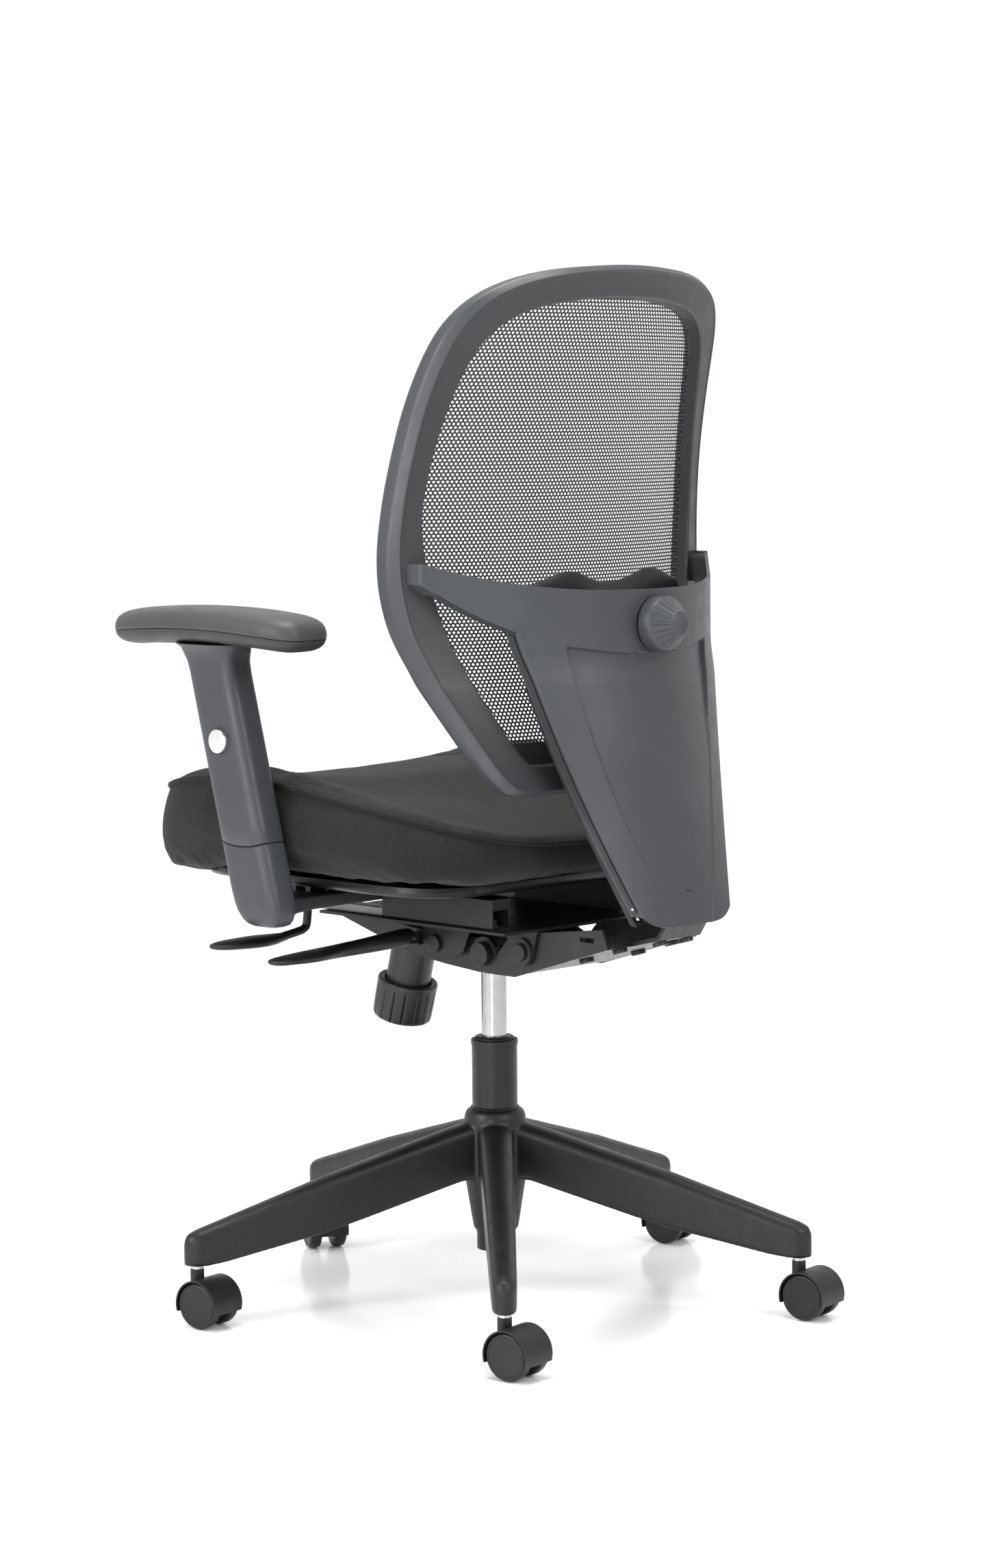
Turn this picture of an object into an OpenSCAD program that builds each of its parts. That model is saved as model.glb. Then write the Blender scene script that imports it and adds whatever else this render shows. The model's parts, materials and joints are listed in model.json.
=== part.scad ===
// Swivel task chair: mesh back on a one-piece spine shell, synchronous tilt mechanism,
// height-adjustable arms, gas lift and a five-star base on twin-wheel casters.
// Millimetres. +Z is up, the origin is on the floor under the gas lift, the chair faces -Y
// and +X is the sitter's left.

/* [Base] */
// Radius of the circle that the caster stems stand on
stem_circle_r = 340; // [320:1:360]
// Height of the underside of the arm tips above the floor
tip_z = 64; // [62:1:70]
// Height of the top of the arm tips
tip_top_z = 102; // [96:1:110]
// Width of an arm at its tip
tip_w = 26; // [22:1:32]
// Width of an arm at the hub
root_w = 38; // [34:1:46]
// Height of the top of the hub
hub_top_z = 212; // [206:1:226]
// Outer radius of the hub
hub_r = 34; // [33:1:38]
// Direction of the first arm, in degrees from +X
first_arm_deg = 46.3; // [0:0.1:72]

/* [Casters] */
// Diameter of a caster wheel
wheel_d = 50; // [46:1:50]
// Width of one of the twin wheels
wheel_w = 15; // [12:1:18]
// Horizontal distance from the stem axis to the axle
caster_trail = 16; // [12:1:20]
// Diameter of the caster stem
stem_d = 10; // [8:1:11]

/* [Gas lift] */
// Outer diameter of the fixed column
column_d = 50; // [48:1:52]
// Height of the top of the fixed column
column_top_z = 288; // [280:1:300]
// Outer diameter of the pressure tube
tube_d = 28; // [26:1:30]
// Height travel below and above the rest height
lift_travel = 60; // [40:1:60]

/* [Mechanism] */
// Y and Z of the main pivot, where the back arm turns
main_pivot = [54, 395];
// Y and Z of the pins that link the back arm to the seat plate
rear_pin = [116, 403];
// Y and Z of the bolts at the front of the seat plate
front_bolt = [-16, 400];
// Half width over the housing's side plates
housing_half_w = 64; // [60:1:68]
// Diameter of the tension knob
tension_knob_d = 68; // [60:1:70]
// Angle of the tension knob's axis from vertical
tension_tilt_deg = 15; // [10:1:20]

/* [Seat] */
// Half width of the seat cushion
seat_half_w = 246; // [236:1:246]
// Y of the front of the cushion
seat_front_y = -324; // [-326:1:-300]
// Y of the back of the cushion
seat_back_y = 164; // [150:1:175]
// Height of the underside of the cushion
seat_bottom_z = 480; // [480:1:486]
// Height of the cushion's side edge at its highest
seat_edge_z = 592; // [580:1:596]
// Depth of the dish between the raised sides
seat_dish = 22; // [10:1:28]

/* [Arms] */
// Distance of an arm post's centre from the middle of the chair
arm_x = 269; // [269:1:280]
// Length of the arm post's section, front to back
post_l = 70; // [60:1:74]
// Thickness of the arm post's section
post_w = 40; // [36:1:40]
// Forward lean of the post, in mm per mm of height
post_lean = 0.27; // [0.2:0.01:0.3]
// Height of the joint between the arm base and the sleeve
sleeve_z = 525; // [515:1:535]
// Length of an arm pad
pad_l = 290; // [250:1:294]
// Width of an arm pad
pad_w = 86; // [76:1:90]

/* [Back] */
// Radius of the back's curve from side to side
back_curve_r = 450; // [400:1:520]
// Y of the foremost point of the back's centre line
back_front_y = 152; // [145:1:160]
// Height of that foremost point
back_waist_z = 825; // [800:1:850]
// Depth of the back frame, front to rear
frame_depth = 28; // [26:1:32]
// Outer radius of the round middle of the shell's band
band_r = 226; // [223:1:229]
// Wall thickness of the shell
shell_t = 4; // [3:0.5:5]

/* [Lumbar] */
// Height of the lumbar knob's axis
knob_z = 752; // [746:1:758]
// Diameter of the lumbar knob
knob_d = 58; // [50:1:60]
// Half width of the lumbar pad
pad_half_w = 138; // [120:1:142]

/* [Hidden] */

$fn = 64;
eps = 0.01;
run_clearance = 0.05;
arms = 5;

nylon = "#26282a";
dark_plastic = "#303234";
grey_plastic = "#565a5e";
black_steel = "#1c1d1f";
satin_steel = "#b9bcc0";
zinc = "#c8cacc";
cloth = "#2b2b29";

// Caster placing: the direction, from +X, in which each caster's axle trails its stem
caster_yaw = [98, 98, 98, 62, 98];
wheel_r = wheel_d / 2;
web_half = 7.5;
hood_t = 1.8;
hood_gap = 0.8;
axle_r = 4;
stem_r = stem_d / 2;

// Gas lift heights
column_r = column_d / 2;
column_bottom_z = 55;
column_floor_z = 64;
tube_r = tube_d / 2;
rod_r = 5;
cylinder_bottom_z = 155;
cylinder_top_z = 412;

// Sheet thicknesses in the mechanism
plate_t = 3;
arm_plate_t = 4;
back_arm_half_w = 69;
seat_plate_half_w = 73;
seat_plate_z = 426;
pivot_r = 6;
boss_r = 25;
// Spine shell: the ends of its tapering part and the Y of the band's centre
spine_low_z = 441;
spine_high_z = 747;
band_y = 16;
// Half widths of the band's round middle and of the whole band
band_round_w = 150;
wing_x = 220;
// X and Z of the slide lever's hinge
slide_hinge = [173, 450];

// ---------- helpers ----------

function mix(a, b, t) = a + (b - a) * t;

// Superellipse point at angle a, for half sizes rx and ry
function squircle(a, rx, ry, n) =
    [rx * sign(cos(a)) * pow(abs(cos(a)), 2 / n), ry * sign(sin(a)) * pow(abs(sin(a)), 2 / n)];

// Point at t, from 0 to 1, of a Catmull-Rom curve from p1 to p2
function curve_point(p0, p1, p2, p3, t) =
    0.5 * (2 * p1 + (p2 - p0) * t + (2 * p0 - 5 * p1 + 4 * p2 - p3) * t * t
        + (3 * p1 - p0 - 3 * p2 + p3) * t * t * t);

// Closed smooth curve through a list of points, with k steps between neighbours
function smooth_loop(p, k) = [
    for (i = [0:len(p) - 1], s = [0:k - 1])
        curve_point(p[(i + len(p) - 1) % len(p)], p[i], p[(i + 1) % len(p)],
            p[(i + 2) % len(p)], s / k)
];

// Both halves of a loop that starts and ends on the middle line, mirrored in X
function mirror_loop(half) =
    concat(half, [for (i = [len(half) - 2:-1:1]) [-half[i][0], half[i][1]]]);

// Closed solid through a list of rings that all have the same number of points. A ring that is
// a thin strip, out along one side and back along the other, has its ends closed across.
module loft(rings, strip = false) {
    n = len(rings[0]);
    m = len(rings);
    base = (m - 1) * n;
    points = [for (ring = rings, p = ring) p];
    sides = [
        for (i = [0:m - 2], j = [0:n - 1])
            [i * n + j, i * n + (j + 1) % n, (i + 1) * n + (j + 1) % n, (i + 1) * n + j]
    ];
    plain_ends = [[for (j = [n - 1:-1:0]) j], [for (j = [0:n - 1]) base + j]];
    strip_ends = [
        for (j = [0:n / 2 - 2], face = [
            [n - 1 - j, n - 2 - j, j + 1, j],
            [base + j, base + j + 1, base + n - 2 - j, base + n - 1 - j]
        ]) face
    ];
    polyhedron(points, concat(sides, strip ? strip_ends : plain_ends), convexity = 6);
}

// The same, for rings that close on themselves like a tyre
module loop_loft(rings) {
    n = len(rings[0]);
    m = len(rings);
    points = [for (ring = rings, p = ring) p];
    sides = [
        for (i = [0:m - 1], j = [0:n - 1])
            [i * n + j, i * n + (j + 1) % n, ((i + 1) % m) * n + (j + 1) % n, ((i + 1) % m) * n + j]
    ];
    polyhedron(points, sides, convexity = 10);
}

// Cylinder along X from x0 to x1, at a Y and Z
module x_pin(x0, x1, at, r) {
    translate([x0, at[0], at[1]]) rotate([0, 90, 0]) cylinder(h = x1 - x0, r = r);
}

// Plate across the chair, from x0 to x1, with an outline in Y and Z
module side_plate(x0, x1, outline) {
    translate([x0, 0, 0]) rotate([90, 0, 90]) linear_extrude(height = x1 - x0) polygon(outline);
}

// Children, and the same mirrored to the other side of the chair
module both_sides() {
    children();
    mirror([1, 0, 0]) children();
}

// ---------- base and casters ----------

// One arm: its side outline and its plan outline, each pulled through the other
module base_arm() {
    intersection() {
        rotate([90, 0, 0]) linear_extrude(height = 80, center = true) polygon([
            [20, hub_top_z - 12], [60, hub_top_z - 21], [200, 149], [stem_circle_r, tip_top_z],
            [stem_circle_r + 10, tip_top_z - 6], [stem_circle_r + 14, tip_z + 8],
            [stem_circle_r + 12, tip_z], [stem_circle_r - 18, tip_z], [190, 92], [40, 136], [20, 138]
        ]);
        linear_extrude(height = 300) polygon([
            [10, root_w / 2], [stem_circle_r, tip_w / 2], [stem_circle_r + 12, tip_w / 2 - 5],
            [stem_circle_r + 14, 0], [stem_circle_r + 12, 5 - tip_w / 2],
            [stem_circle_r, -tip_w / 2], [10, -root_w / 2]
        ]);
    }
}

module star_base() {
    color(nylon) difference() {
        union() {
            rotate_extrude() polygon([
                [0, 76], [24, 76], [25, 82], [hub_r - 0.8, 130], [hub_r, 200],
                [hub_r - 2, hub_top_z - 4], [hub_r - 5, hub_top_z], [0, hub_top_z]
            ]);
            for (i = [0:arms - 1]) rotate(first_arm_deg + i * 360 / arms) base_arm();
        }
        rotate_extrude() polygon([
            [0, 70], [column_r - 4, 70], [column_r - 3, 80], [column_r, hub_top_z + 1], [0, hub_top_z + 1]
        ]);
        for (i = [0:arms - 1]) rotate(first_arm_deg + i * 360 / arms)
            translate([stem_circle_r, 0, tip_z - 1]) cylinder(h = 29, r = stem_r);
    }
}

module column_tube() {
    color(nylon) rotate_extrude() polygon([
        [column_r - 4, column_bottom_z], [column_r - 4, 70], [column_r - 3, 80], [column_r, hub_top_z + 1],
        [column_r, column_top_z - 2], [column_r - 1, column_top_z], [column_r - 3, column_top_z],
        [column_r - 3, hub_top_z], [18.5, 80], [18.5, column_floor_z], [rod_r + 2, column_floor_z],
        [rod_r + 2, column_bottom_z]
    ]);
}

module column_bush() {
    color(satin_steel) rotate_extrude() polygon([
        [tube_r + run_clearance, 232], [column_r - 3, 232], [column_r - 3, column_top_z],
        [column_r - 3, column_top_z + 2], [column_r - 5, column_top_z + 4],
        [tube_r + run_clearance, column_top_z + 4]
    ]);
}

module caster_stems() {
    color(satin_steel) for (i = [0:arms - 1]) rotate(first_arm_deg + i * 360 / arms)
        translate([stem_circle_r, 0, 0]) {
            translate([0, 0, 44]) cylinder(h = 47, r = stem_r);
            translate([0, 0, 60.2]) cylinder(h = 3.8, r = 6.8);
        }
}

// Children in the place and heading of caster k, with the stem axis at the origin
module at_caster(k) {
    rotate(first_arm_deg + (k - 1) * 360 / arms) translate([stem_circle_r, 0, 0])
        rotate(caster_yaw[k - 1] - first_arm_deg - (k - 1) * 360 / arms) children();
}

module caster_hood(k) {
    color(nylon) at_caster(k) difference() {
        union() {
            intersection() {
                translate([caster_trail, 0, wheel_r]) rotate([90, 0, 0])
                    cylinder(h = 2 * (web_half + wheel_w), r = wheel_r + hood_gap + hood_t, center = true);
                translate([caster_trail - 40, -40, wheel_r - 8]) cube([80, 80, 60]);
            }
            translate([0, 0, 40]) cylinder(h = 20, r = web_half);
        }
        for (s = [-1, 1]) translate([caster_trail, s * (web_half + 10), wheel_r])
            rotate([90, 0, 0]) cylinder(h = 20, r = wheel_r + hood_gap, center = true);
        translate([0, 0, 38]) cylinder(h = 30, r = stem_r + run_clearance);
        translate([caster_trail, 0, wheel_r]) rotate([90, 0, 0])
            cylinder(h = 60, r = axle_r, center = true);
    }
}

module caster_axle(k) {
    color(satin_steel) at_caster(k) translate([caster_trail, 0, wheel_r]) rotate([90, 0, 0])
        cylinder(h = 2 * (web_half + wheel_w - 3), r = axle_r, center = true);
}

// One of the twin wheels; side is 1 or -1
module caster_wheel(k, side) {
    inner = web_half + 0.5;
    color(nylon) at_caster(k) translate([caster_trail, 0, wheel_r]) rotate([-90 * side, 0, 0])
        translate([0, 0, inner]) difference() {
            rotate_extrude() polygon([
                [0, 0], [wheel_r - 1.5, 0], [wheel_r, 1.5], [wheel_r, wheel_w - 4],
                [wheel_r - 1.5, wheel_w - 1.5], [wheel_r - 3, wheel_w - 1], [0, wheel_w - 0.5]
            ]);
            translate([0, 0, -1]) cylinder(h = wheel_w - 1.5, r = axle_r + run_clearance);
        }
}

// ---------- gas lift ----------

module piston_rod() {
    color(satin_steel) union() {
        translate([0, 0, column_bottom_z + 3]) cylinder(h = 230 - column_bottom_z, r = rod_r);
        translate([0, 0, 232]) cylinder(h = 10, r = tube_r - 2 - run_clearance);
    }
}

module thrust_bearing() {
    color(zinc) difference() {
        union() {
            translate([0, 0, column_floor_z + 1]) cylinder(h = 9, r = 14);
            translate([0, 0, column_floor_z + 0.2]) cylinder(h = 1, r = 11);
        }
        translate([0, 0, column_floor_z - 2]) cylinder(h = 20, r = rod_r);
    }
}

module gas_cylinder() {
    color(satin_steel) difference() {
        rotate_extrude() polygon([
            [0, cylinder_bottom_z], [tube_r - 1, cylinder_bottom_z], [tube_r, cylinder_bottom_z + 1],
            [tube_r, 376], [tube_r - 1.2, cylinder_top_z], [0, cylinder_top_z]
        ]);
        translate([0, 0, cylinder_bottom_z + 8]) cylinder(h = 218, r = tube_r - 2);
        translate([0, 0, cylinder_bottom_z - 1]) cylinder(h = 20, r = rod_r + run_clearance);
        translate([0, 0, cylinder_top_z - 14]) cylinder(h = 20, r = 4 + run_clearance);
    }
}

module valve_pin() {
    color(zinc) translate([0, 0, cylinder_top_z - 9]) cylinder(h = 14, r = 4);
}

// ---------- mechanism ----------

// Side outline of the housing, in Y and Z
function housing_outline() = [
    [-182, 423], [-178, 416], [-62, 383], [-8, 377], [44, 373], [66, 377],
    [72, 388], [70, 404], [56, 409], [-60, 412], [-150, 424]
];

module mech_housing() {
    inner = housing_half_w - plate_t;
    color(black_steel) difference() {
        union() {
            both_sides() side_plate(inner, housing_half_w, housing_outline());
            side_plate(-inner, inner, [
                [-182, 423], [-178, 416], [-62, 383], [-8, 377], [44, 373], [66, 377],
                [64, 380], [44, 376], [-8, 380], [-61, 386], [-176, 419], [-179, 424]
            ]);
            cylinder_socket();
        }
        gas_bore();
        x_pin(-100, 100, main_pivot, pivot_r);
        both_sides() x_pin(housing_half_w - 8, 100, front_bolt, pivot_r - 1);
        tension_axis() translate([0, 0, -12]) cylinder(h = 60, r = boss_r);
    }
}

// Socket in the housing that grips the top of the gas cylinder
module cylinder_socket() {
    translate([0, 0, 374]) cylinder(h = 36, r = tube_r + 8);
}

module gas_bore() {
    translate([0, 0, 360]) rotate_extrude() polygon([
        [0, 0], [tube_r, 0], [tube_r, 16], [tube_r - 1.2, cylinder_top_z - 360],
        [tube_r - 1.2, 60], [0, 60]
    ]);
}

// Children along the tension screw's axis, with Z up the axis from the boss's top
module tension_axis() {
    translate([0, -124, 384]) rotate([-tension_tilt_deg, 0, 0]) children();
}

module mech_bolts() {
    color(zinc) {
        x_pin(-77, 77, main_pivot, pivot_r);
        both_sides() x_pin(seat_plate_half_w - 3.5, 78, main_pivot, 13);
        both_sides() x_pin(housing_half_w - 6, 76.5, front_bolt, pivot_r - 1);
        both_sides() x_pin(seat_plate_half_w + 0.3, 78, front_bolt, 9.5);
    }
}

module spring_boss() {
    color(dark_plastic) tension_axis() difference() {
        translate([0, 0, -54]) cylinder(h = 80, r = boss_r);
        translate([0, 0, -60]) cylinder(h = 60, r = 6 + run_clearance);
        translate([0, 0, -6]) cylinder(h = 40, r = 17);
    }
}

module tilt_spring() {
    color(satin_steel) tension_axis() difference() {
        translate([0, 0, -5.8]) cylinder(h = 30, r = 16.5);
        translate([0, 0, -7]) cylinder(h = 34, r = 11);
    }
}

// Ribbed cup on the tension screw, which closes over the end of the boss
module tension_knob() {
    ribs = 16;
    color(dark_plastic) tension_axis() translate([0, 0, -91]) {
        difference() {
            union() {
                rotate_extrude() polygon([
                    [0, 0], [tension_knob_d / 2 - 5, 0], [tension_knob_d / 2 - 1, 4],
                    [tension_knob_d / 2, 46], [boss_r + 1.5, 46], [boss_r + 1.5, 34], [0, 34]
                ]);
                cylinder(h = 80, r = 6);
            }
            for (i = [0:ribs - 1]) rotate(i * 360 / ribs)
                translate([tension_knob_d / 2, 0, -1]) cylinder(h = 40, r = 1.4);
        }
    }
}

// Paddle lever beside the housing; side is 1 for the left and -1 for the right
module paddle_lever(side, y) {
    mirror([side < 0 ? 1 : 0, 0, 0]) difference() {
        union() {
            hull() {
                translate([88, y, 405]) sphere(r = 10, $fn = 24);
                translate([178, y - 2, 401]) sphere(r = 8, $fn = 24);
            }
            hull() {
                translate([178, y - 2, 401]) sphere(r = 8, $fn = 24);
                translate([222, y - 3, 399]) scale([1, 1, 0.42]) sphere(r = 17, $fn = 24);
                translate([268, y - 4, 398]) scale([1, 1, 0.3]) sphere(r = 14, $fn = 24);
            }
        }
        translate([86, y - 20, 406]) rotate([-90, 0, 0]) cylinder(h = 40, r = 3 + run_clearance);
        translate([74, y - 6.3, 394]) cube([22, 12.6, 24]);
    }
}

module tilt_lever() {
    color(nylon) paddle_lever(1, -46);
}

module gas_lever() {
    color(nylon) paddle_lever(-1, -46);
}

// Fork that carries each paddle's hinge pin, with its two screws
module lever_brackets() {
    color(black_steel) both_sides() {
        difference() {
            translate([housing_half_w, -52, 396]) cube([12, 12, 15]);
            translate([housing_half_w - 1, -46, 401]) rotate([0, 90, 0]) cylinder(h = 3, r = 2);
        }
        translate([housing_half_w + 12, -52, 398]) cube([16, 12, 13]);
        translate([86, -60, 406]) rotate([-90, 0, 0]) cylinder(h = 28, r = 3);
    }
}

// ---------- back arm and seat plate ----------

module back_arm() {
    inner = back_arm_half_w - arm_plate_t;
    nose = 18;
    color(black_steel) difference() {
        union() {
            both_sides() side_plate(inner, back_arm_half_w, [
                [main_pivot[0], main_pivot[1] - nose - 3], [100, 374], [236, 416], [228, 436], [96, 420]
            ]);
            both_sides() x_pin(inner, back_arm_half_w, main_pivot, nose);
            side_plate(-inner, inner, [[112, 378], [236, 416], [235, 420], [111, 382]]);
            side_plate(-32, 32, [
                [232, 415], [274, 425], [284, 440], [259, 540], [255, 540], [280, 441], [271, 429],
                [231, 419]
            ]);
        }
        x_pin(-100, 100, main_pivot, pivot_r + run_clearance);
        x_pin(-100, 100, rear_pin, pivot_r);
        both_sides() translate([60, 196, 421]) rotate([90, 0, 90])
            linear_extrude(height = 20) square([20, 5]);
    }
}

// Bolts under the back arm, and those that hold the spine to it
module back_arm_bolts() {
    slope = atan2(38, 124);
    color(black_steel) {
        both_sides() for (y = [178, 226, 264])
            translate([y < 240 ? 40 : 20, y, 398.2 + (y - 178) * tan(y < 240 ? slope : 15.5)])
                rotate([slope, 0, 0])
                translate([0, 0, -4.5]) cylinder(h = 4.5, r = 8);
        for (z = [470, 515]) translate([0, 271 - (z - 470) / 4, z]) rotate([-90, 0, 0])
            cylinder(h = 16, r = 7);
    }
}

module rear_pins() {
    color(zinc) both_sides() x_pin(back_arm_half_w - 4, 79, rear_pin, pivot_r);
    color(zinc) both_sides() x_pin(77, 81, rear_pin, 9.5);
}

module seat_plate() {
    flange = [
        [-35, 426], [-35, 396], [-27, 388], [14, 388], [26, 394], [36, 416], [46, 421],
        [86, 421], [96, 414], [100, 398], [108, 390], [124, 390], [131, 398], [134, 412],
        [138, 426]
    ];
    color(black_steel) difference() {
        union() {
            difference() {
                translate([-seat_plate_half_w, -160, seat_plate_z])
                    cube([2 * seat_plate_half_w, 298, plate_t]);
                translate([0, 0, seat_plate_z - 1]) cylinder(h = 5, r = 20);
                translate([0, -120, seat_plate_z - 1]) cylinder(h = 5, r = 30);
            }
            both_sides() side_plate(seat_plate_half_w - 3, seat_plate_half_w, flange);
            both_sides() x_pin(seat_plate_half_w, seat_plate_half_w + 3.5, rear_pin, 15);
            both_sides() translate([seat_plate_half_w, -150, seat_plate_z])
                cube([47, 286, plate_t]);
        }
        both_sides() x_pin(60, 80, rear_pin, pivot_r + run_clearance);
        both_sides() hull() {
            x_pin(60, 80, [front_bolt[0] - 1, front_bolt[1]], pivot_r + 0.5);
            x_pin(60, 80, [front_bolt[0] + 1, front_bolt[1]], pivot_r + 0.5);
        }
    }
}

module lower_rails() {
    color(zinc) both_sides() translate([94, -170, seat_plate_z + plate_t]) cube([16, 270, 10]);
}

module upper_rails() {
    wall = 2.5;
    color(black_steel) both_sides() difference() {
        translate([88, -54, 431]) cube([28, 168, 31]);
        translate([88 + wall, -60, 425]) cube([28 - 2 * wall, 200, 25]);
    }
}

module seat_pan() {
    color(black_steel) difference() {
        union() {
            translate([0, (seat_front_y + seat_back_y) / 2, 462])
                linear_extrude(height = seat_bottom_z - 462) polygon([
                    for (a = [0:7.5:359]) squircle(a, seat_half_w - 34, 208, 6)
                ]);
            for (y = [-126, -102.4]) translate([162, y, slide_hinge[1] - 4]) cube([22, 9.4, 17]);
        }
        translate([slide_hinge[0], -130, slide_hinge[1]]) rotate([-90, 0, 0])
            cylinder(h = 40, r = 3 + run_clearance);
    }
}

// Height of the cushion's side edge at a Y
function edge_z(y) = seat_edge_z - (y < -110 ? 0.0006 * pow(y + 110, 2) : 0.127 * (y + 110));

// Height of the cushion's top at a place on it
function seat_top(x, y) =
    edge_z(y) - (seat_dish + 0.055 * (y + 80)) * (1 - pow(x / seat_half_w, 2))
        - 0.003 * pow(max(0, -280 - y), 2);

// Ring of the cushion: inset from the outline, and its height above the bottom as a share
function cushion_ring(inset, share) = [
    for (a = [0:6:359])
        let (
            mid_y = (seat_front_y + seat_back_y) / 2,
            half_l = (seat_back_y - seat_front_y) / 2,
            p = squircle(-a, seat_half_w - inset, half_l - inset, 6),
            y = p[1] + mid_y
        ) [p[0], y, mix(seat_bottom_z, seat_top(p[0], y), share)]
];

module seat_cushion() {
    color(cloth) loft([
        cushion_ring(16, 0), cushion_ring(4, 0.08), cushion_ring(0, 0.3), cushion_ring(0, 0.72),
        cushion_ring(4, 0.9), cushion_ring(14, 0.98), cushion_ring(40, 1), cushion_ring(100, 1),
        cushion_ring(180, 1)
    ]);
}

// Bent rod under the left of the seat with a flat grip, hinged on the seat pan
module slide_lever() {
    y = -109.7;
    rod_r = 4.5;
    color(nylon) {
        hull() {
            translate([slide_hinge[0], y, slide_hinge[1]]) sphere(r = 6.5, $fn = 20);
            translate([176, y, 419]) sphere(r = rod_r, $fn = 20);
        }
        hull() {
            translate([176, y, 418]) sphere(r = rod_r, $fn = 20);
            translate([224, y, 410]) sphere(r = rod_r, $fn = 20);
        }
        hull() {
            translate([222, y, 410]) sphere(r = rod_r, $fn = 20);
            translate([250, y, 412]) scale([1, 1, 0.4]) sphere(r = 17, $fn = 24);
            translate([298, y, 412]) scale([1, 1, 0.4]) sphere(r = 14, $fn = 24);
        }
        translate([slide_hinge[0], -126, slide_hinge[1]]) rotate([-90, 0, 0])
            cylinder(h = 32.6, r = 3);
    }
}

// ---------- arms ----------

// Y of the post's centre at a height
function post_y(z) = -75 - (z - 472) * post_lean;

// Ring of the leaning post at a height, with the section's half sizes
function post_ring(z, half_l, half_w, x = arm_x) = [
    for (a = [0:15:359])
        let (p = squircle(-a, half_w, half_l, 3.2)) [x + p[0], post_y(z) + p[1], z]
];

// Lower cup of the arm, its bracket bar to the seat and the upright that the sleeve runs on
module arm_base() {
    color(grey_plastic) {
        loft([
            post_ring(434, 14, 8), post_ring(439, 25, 14), post_ring(450, 33, 19),
            post_ring(475, post_l / 2, post_w / 2), post_ring(sleeve_z - 1, post_l / 2, post_w / 2)
        ]);
        difference() {
            translate([100, -112, 447]) cube([152, 56, 15]);
            translate([slide_hinge[0] - 14, -113, 446]) cube([30, 23, 17]);
        }
        loft([
            post_ring(sleeve_z - 2, 22, 11), post_ring(700, 22, 11)
        ]);
    }
}

module arm_sleeve() {
    color(grey_plastic) difference() {
        loft([
            post_ring(sleeve_z, post_l / 2, post_w / 2),
            post_ring(700, post_l / 2, post_w / 2),
            post_ring(722, post_l / 2 + 3, post_w / 2 + 2), post_ring(728, post_l / 2 + 8, post_w / 2 + 6)
        ]);
        loft([post_ring(sleeve_z - 1, 22.4, 11.4), post_ring(706, 22.4, 11.4)]);
        button_axis() translate([0, 0, -9]) cylinder(h = 20, r = 12.5 + run_clearance);
    }
}

// Children on the button's axis, with Z pointing out of the sleeve's outer face
module button_axis() {
    translate([arm_x + post_w / 2, post_y(629) + 2, 629]) rotate([0, 90, 0]) children();
}

module arm_button() {
    color(satin_steel) button_axis() union() {
        translate([0, 0, -4]) cylinder(h = 7, r = 12.5);
        translate([0, 0, 3 - eps]) cylinder(h = 2, r = 11);
    }
}

// Ring of the arm pad: z, and how far it's inset from the pad's outline
function pad_ring(z, inset) = [
    for (a = [0:10:359])
        let (
            p = squircle(-a, pad_w / 2 - inset, pad_l / 2 - inset, 4.2),
            y = p[1] - 143
        ) [arm_x - 4 + p[0], y, z - 0.0004 * pow(y + 150, 2)]
];

module arm_pad() {
    color(dark_plastic) loft([
        pad_ring(731, 30), pad_ring(733, 14), pad_ring(740, 3), pad_ring(748, 0), pad_ring(758, 1),
        pad_ring(767, 8), pad_ring(770, 22)
    ]);
}

// ---------- back ----------

// Y of the back's surface at a width and a height
function back_y(x, z) =
    back_front_y + 0.0008 * pow(z - back_waist_z, 2)
        - x * x / (2 * back_curve_r) * (1 - 0.0052 * max(0, 690 - z));

// Outer and inner outlines of the frame, half of each, from the bottom to the top
outer_half = [
    [0, 577], [76, 577], [146, 578], [163, 587], [175, 607], [192, 652], [209, 700], [225, 744],
    [232, 785], [233, 825], [229, 875], [223, 930], [217, 980], [208, 1028], [196, 1062],
    [175, 1088], [144, 1105], [104, 1115], [54, 1120], [0, 1122]
];
inner_half = [
    [0, 608], [62, 608], [113, 608], [126, 613], [134, 626], [148, 660], [162, 694], [178, 732],
    [192, 780], [200, 825], [203, 868], [198, 915], [190, 962], [178, 1010], [164, 1042],
    [142, 1064], [112, 1077], [78, 1083], [40, 1087], [0, 1088]
];

// One section of the frame between an outer and an inner point of its outline
function frame_section(o, i) =
    let (
        crease = mix(o, i, 0.2),
        edge = mix(o, i, 0.06)
    ) [
        [i[0], back_y(i[0], i[1]) - frame_depth + 2, i[1]],
        [edge[0], back_y(o[0], o[1]) - frame_depth, edge[1]],
        [o[0], back_y(o[0], o[1]) - frame_depth + 5, o[1]],
        [o[0], back_y(o[0], o[1]) - 7, o[1]],
        [crease[0], back_y(crease[0], crease[1]) + 2, crease[1]],
        [i[0], back_y(i[0], i[1]), i[1]]
    ];

module back_frame() {
    outer = smooth_loop(mirror_loop(outer_half), 2);
    inner = smooth_loop(mirror_loop(inner_half), 2);
    color(grey_plastic) loop_loft([for (k = [0:len(outer) - 1]) frame_section(outer[k], inner[k])]);
}

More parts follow.
